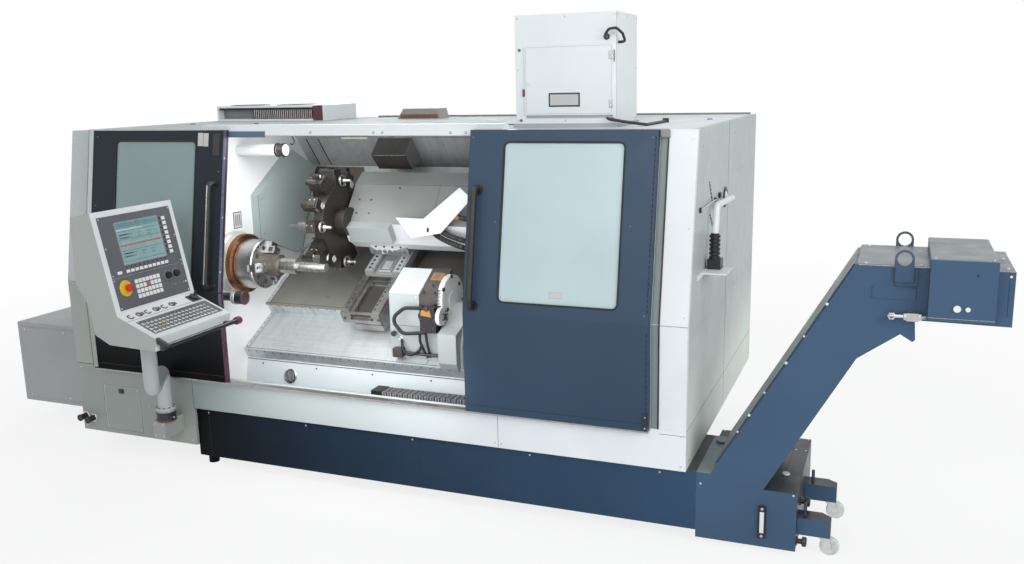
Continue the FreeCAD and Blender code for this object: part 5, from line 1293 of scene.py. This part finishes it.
# %% Turret, tools and shroud
kit = Kit("turret_trim", "turret")
for index in range(12):
    spoke = Plane(TURRET, slope(index * 30), slope(index * 30 + 90))
    for side in (-20, 20):
        kit.turned("holder steel", spoke.matrix(side, 252, 8),
            [(7, -1), (7, 6), (6, 8), (3.5, 8), (3, 3), (0, 3)], 12)
    rim = Plane(TURRET + spoke.up * 299, (1, 0, 0), spoke.right)
    kit.slab("turret dark", rim.matrix(24, 0, -1), 44, 50, 9, 2)
    for along in (8, 42):
        kit.turned("holder steel", rim.matrix(along, 14, 7),
            [(6, 0), (6, 4), (5, 6), (3, 6), (2.6, 2), (0, 2)], 12)
    # Every third station has a round tool in a collet.
    if index % 3 == 0:
        kit.turned("ground steel", spoke.matrix(0, 259, 78),
            [(33, -2), (35, 0), (35, 8), (33, 10), (35, 12), (33, 14)], 28)
        kit.turned("ground steel", spoke.matrix(0, 259, 110),
            [(10.5, -30), (14, -28), (14, -8), (11, 0), (11, 36), (8, 40), (0, 41)], 20)
    # The stations behind them have an empty clamping nut.
    if index % 3 == 2:
        kit.turned("ground steel", spoke.matrix(0, 255, 44),
            [(41, -6), (43, -4), (43, 3), (39, 8), (30, 9), (28, 5), (23, 5)], 32)
        kit.turned("nose steel", spoke.matrix(0, 255, 73),
            [(22, 0), (19, 2.5), (12, 3), (10, 0.5), (0, 0.5)], 24)
    # Three neighbours carry a block for two bars.
    if index in (0, 1, 11):
        kit.slab("turret dark", spoke.matrix(0, 296, -46), 88, 66, 96, 4)
        kit.turned("gasket black", spoke.matrix(-24, 318, -62),
            [(15, 0), (18, 3), (18, 70), (15, 74), (0, 74)], 20)
        kit.turned("turret dark", spoke.matrix(24, 318, -54),
            [(12, 0), (14, 3), (14, 90), (10, 94), (0, 94)], 20)
    # The rest hold a square shank with its insert.
    if index % 3 == 1:
        kit.slab("ground steel", spoke.matrix(0, 318, -32), 30, 70, 14, 1.5)
        kit.slab("yellow strip", spoke.matrix(0, 349, 34), 15, 15, 5, 1)
    pipe = [TURRET + spoke.up * up + spoke.right * right - Vector((depth, 0, 0))
            for up, right, depth in ((205, 0, 6), (222, 0, 26), (246, 18, 24))]
    kit.hose("satin black", pipe, 5, 1.2, 6)
kit.turned("bed casting", Plane(TURRET, (0, 0, 1), (0, 1, 0)).matrix(0, 0, 24),
    [(96, 0), (96, 2), (88, 6), (60, 6), (56, 2), (0, 2)], 48)
kit.fit()
SHROUD = Plane((0, 765, 1437), (1, 0, 0), (0, 176, 234))
kit = Kit("cross_slide_trim", "cross_slide")
kit.screws("turret dark", SHROUD, [(1633, 170), (1719, 170), (1639, 72), (1730, 73), (2300, 240),
    (1900, 260)], 7)
kit.seam(SHROUD, (1580, 286, 2450, 286), (2180, 120, 2180, 290))
OFF_BED = (0, -0.5075, 0.8616)
PLINTH = Plane(BED.start + BED.up * 380, (1, 0, 0), OFF_BED)
kit.screws("slide steel", PLINTH, [(x, 176) for x in range(1712, 1940, 36)], 13, 0, 9)
kit.screws("turret dark", PLINTH, [(x, 215) for x in range(1730, 1930, 60)], 7, 0, 5)
for x in (1732, 1931):
    kit.between("nose steel", BED, x - 24, x + 24, 222, 376, 149.5, 154, 1.5)
    kit.screws("turret dark", BED, [(x, s) for s in (240, 276, 312, 348)], 9, 154, 4)
kit.between("nose steel", BED, 1788, 1872, 236, 344, 123.5, 136, 3)
kit.gasket("slide steel", BED, 1800, 1860, 248, 332, 134, 140, 7, 6)
for rise in (0, 42):
    kit.hose("satin black", [(2182, 742 - rise * 0.6, 1480 - rise * 1.45), (2200, 742, 1458 - rise),
        (2235, 744, 1425 - rise), (2310, 746, 1388 - rise), (2400, 748, 1360 - rise),
        (2440, 760, 1352 - rise), (2455, 808 + rise * 0.4, 1372 - rise * 0.7)], 14, 4, 9)
kit.turned("label orange", facing_right(2380, 742, 1500).matrix(0, 0, -30),
    [(0, -1), (14, 0), (17, 3), (17, 40), (14, 44), (0, 45)], 24)
kit.hose("satin black", [(2258, 744, 1494), (2290, 743, 1492), (2340, 742, 1502), (2420, 744, 1494),
    (2452, 756, 1480), (2457, 790, 1458)], 13, 3, 9)
kit.fit()
kit = Kit("saddle_trim", "saddle")
kit.screws("turret dark", BED, [(x, s) for x in (1697, 1897) for s in range(-80, 200, 40)], 6, 102, 3)
kit.between("bed casting", BED, 1738, 1878, -90, 190, 39.6, 41.5, 1)
kit.between("ground steel", BED, 1735, 1740, -95, 196, 40, 76, 1)
kit.between("ground steel", BED, 1876, 1881, -95, 196, 40, 76, 1)
STOP = Plane(BED.start - BED.up * 122, (1, 0, 0), OFF_BED)
kit.screws("turret dark", STOP, [(x, 52) for x in (1690, 1735, 1880, 1925)], 8, 0, 5)
kit.fit()

# %% Carriage fittings
BAR_TOP = Plane((0, 450, 1078), (1, 0, 0), (0, 198, 115))
ARM_FRONT = facing_front(385)
DISC = facing_right(2412)
kit = Kit("carriage_trim", "carriage")
kit.between("label orange", BAR_TOP, 2272, 2350, 128, 210, -0.4, 2, 1)
kit.between("cover brown", BAR_TOP, 2284, 2322, 140, 198, 1.8, 2.8, 0.5)
kit.screws("turret dark", BAR_TOP, [(2275, 20), (2350, 20), (2310, 85), (2275, 222), (2350, 222)], 8, 0, 5)
kit.plate("label orange", ARM_FRONT, [(2296, 1000), (2350, 1003), (2362, 960), (2290, 968)], -0.4, 2)
kit.screws("turret dark", ARM_FRONT, [(2310, 890), (2370, 892), (2382, 945), (2290, 945)], 7, 0, 4)
kit.turned("seal maroon", ARM_FRONT.matrix(2330, 1008, -6),
    [(13, 0), (13, 14), (10, 18), (7, 18), (6, 12), (0, 12)], 20)
kit.screws("turret dark", DISC, [(448, 1117), (491, 987), (561, 1173), (578, 890), (660, 1110), (700, 1000),
    (650, 915)], 13, 0, 8)
kit.turned("key white", DISC.matrix(575, 1030, 0), [(148, -0.5), (146, 2), (132, 3), (60, 3), (58, 6),
    (0, 7)], 64)
CAP, CAP_FACE = (415, 962), facing_right(2436)
kit.screws("turret dark", CAP_FACE, [around(CAP, 34, turn) for turn in range(20, 380, 60)], 6, 0, 4)
kit.turned("turret dark", CAP_FACE.matrix(*CAP), [(22, -0.5), (22, 4), (18, 6), (10, 6), (8, 2), (0, 2)], 32)
CARRIAGE_FRONT = facing_front(450)
kit.turned("satin black", CARRIAGE_FRONT.matrix(2082, 832, -12),
    [(9, 0), (9, 26), (16, 28), (16, 40), (12, 43), (0, 43)], 20)
kit.turned("holder steel", CARRIAGE_FRONT.matrix(2120, 800, -12),
    [(14, 0), (14, 16), (9, 18), (9, 30), (0, 30)], 20)
for points in ([(2262, 420, 862), (2268, 412, 800), (2290, 418, 740), (2300, 440, 700)],
               [(2300, 420, 866), (2312, 412, 800), (2322, 418, 740), (2318, 440, 705)],
               [(2130, 440, 790), (2150, 415, 740), (2200, 405, 715), (2250, 415, 740), (2262, 440, 770)]):
    kit.hose("gasket black", points, 8)
kit.screws("fork zinc", CARRIAGE_FRONT, [(2066, 1060), (2232, 1060), (2066, 700), (2232, 700)])
kit.seam(CARRIAGE_FRONT, (2052, 880, 2248, 880))
kit.fit()

# %% Chuck and jaws
CHUCK_FACE = 1236
kit = Kit("chuck_trim", "chuck")
for turn in (90, 210, 330):
    for away in (38, 82):
        y, z = around(SPINDLE, 105, turn + away + 90)
        kit.turned("turret dark", ALONG_X.matrix(y, z, CHUCK_FACE - 10),
            [(10.4, 0), (10.4, 2), (5, 2), (5, -2), (0, -2)], 20)
        kit.turned("gasket black", ALONG_X.matrix(y, z, 1235.6),
            [(11, 0), (14, 0.6), (14, 1), (11, 1), (11, 0)], 28)
    kit.screws("turret dark", ALONG_X, [around(SPINDLE, 136, turn + away) for away in (138, 150, 162)], 7,
        CHUCK_FACE)
for x, finish in ((1110, "turret dark"), (1122, "turret dark"), (1212, "gasket black")):
    kit.turned(finish, ALONG_X.matrix(*SPINDLE, x), [(152, 0), (153, 0.6), (153, 2), (152, 2.6)], 96)
for turn in range(60, 360, 60):
    side = Plane((0, *around(SPINDLE, 152.5, turn + 90)), (1, 0, 0), slope(turn + 180))
    kit.screws("gasket black", side, [(1150, 0), (1164, 0)], 4, 0, 1.5)
kit.fit()
for number, turn in ((1, 90), (2, 210), (3, 330)):
    kit = Kit("jaw_%d_trim" % number, "jaw_%d" % number)
    jaw = Plane((0, *SPINDLE), slope(turn), slope(turn + 90))
    for u, o in ((88, 1284), (122, 1256)):
        kit.turned("turret dark", jaw.matrix(0, u, o), [(8.6, 0), (8.6, 4), (4, 4), (4, 1), (0, 1)], 16)
    for u in (72, 104):
        kit.slab("gasket black", jaw.matrix(0, u, 1291.6), 54, 2.4, 1)
    for side in (-30, 30):
        kit.slab("rod brown", jaw.matrix(side, 92, 1248), 1.6, 26, 30, 0.5)
    kit.fit()

# %% [markdown]
# ## The stage and the last measure
# The floor is the stage and not part of the lathe. A white floor lit like the machine
# would still turn grey towards the horizon, so what the camera sees of it is mostly plain
# white paper, more so with distance, and the rest keeps the soft shadow under the lathe.

# %% Floor and sizes
FLOOR_HALF = 40
PAPER_NEAR, PAPER_FAR, PAPER_SHARE = 3.5, 8.0, 0.82
corners = [(-FLOOR_HALF, -FLOOR_HALF, 0), (FLOOR_HALF, -FLOOR_HALF, 0),
           (FLOOR_HALF, FLOOR_HALF, 0), (-FLOOR_HALF, FLOOR_HALF, 0)]
floor_mesh = bpy.data.meshes.new("studio_floor")
floor_mesh.from_pydata(corners, [], [(0, 1, 2, 3)])
floor = bpy.data.objects.new("studio_floor", floor_mesh)
scene.collection.objects.link(floor)
floor_paint = bpy.data.materials.new("floor paint")
floor_paint.use_nodes = True
tree = floor_paint.node_tree
surface = tree.nodes["Principled BSDF"]
feed(tree, surface, Roughness=0.9, Base_Color=(0.95, 0.95, 0.95, 1))
paper = feed(tree, add(tree, "Emission"), Color=(1, 1, 1, 1), Strength=1.0)
away = feed(tree, add(tree, "VectorMath", operation="LENGTH"), n0=add(tree, "TexCoord").outputs["Object"])
whiter = spread(tree, away.outputs["Value"], PAPER_NEAR, PAPER_FAR, PAPER_SHARE, 1.0)
covered = feed(tree, add(tree, "MixShader"), n0=times(tree, whiter, watched(tree)),
               n1=surface.outputs[0], n2=paper.outputs[0])
feed(tree, tree.nodes["Material Output"], Surface=covered.outputs[0])
floor_mesh.materials.append(floor_paint)
floor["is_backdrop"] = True

low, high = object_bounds()
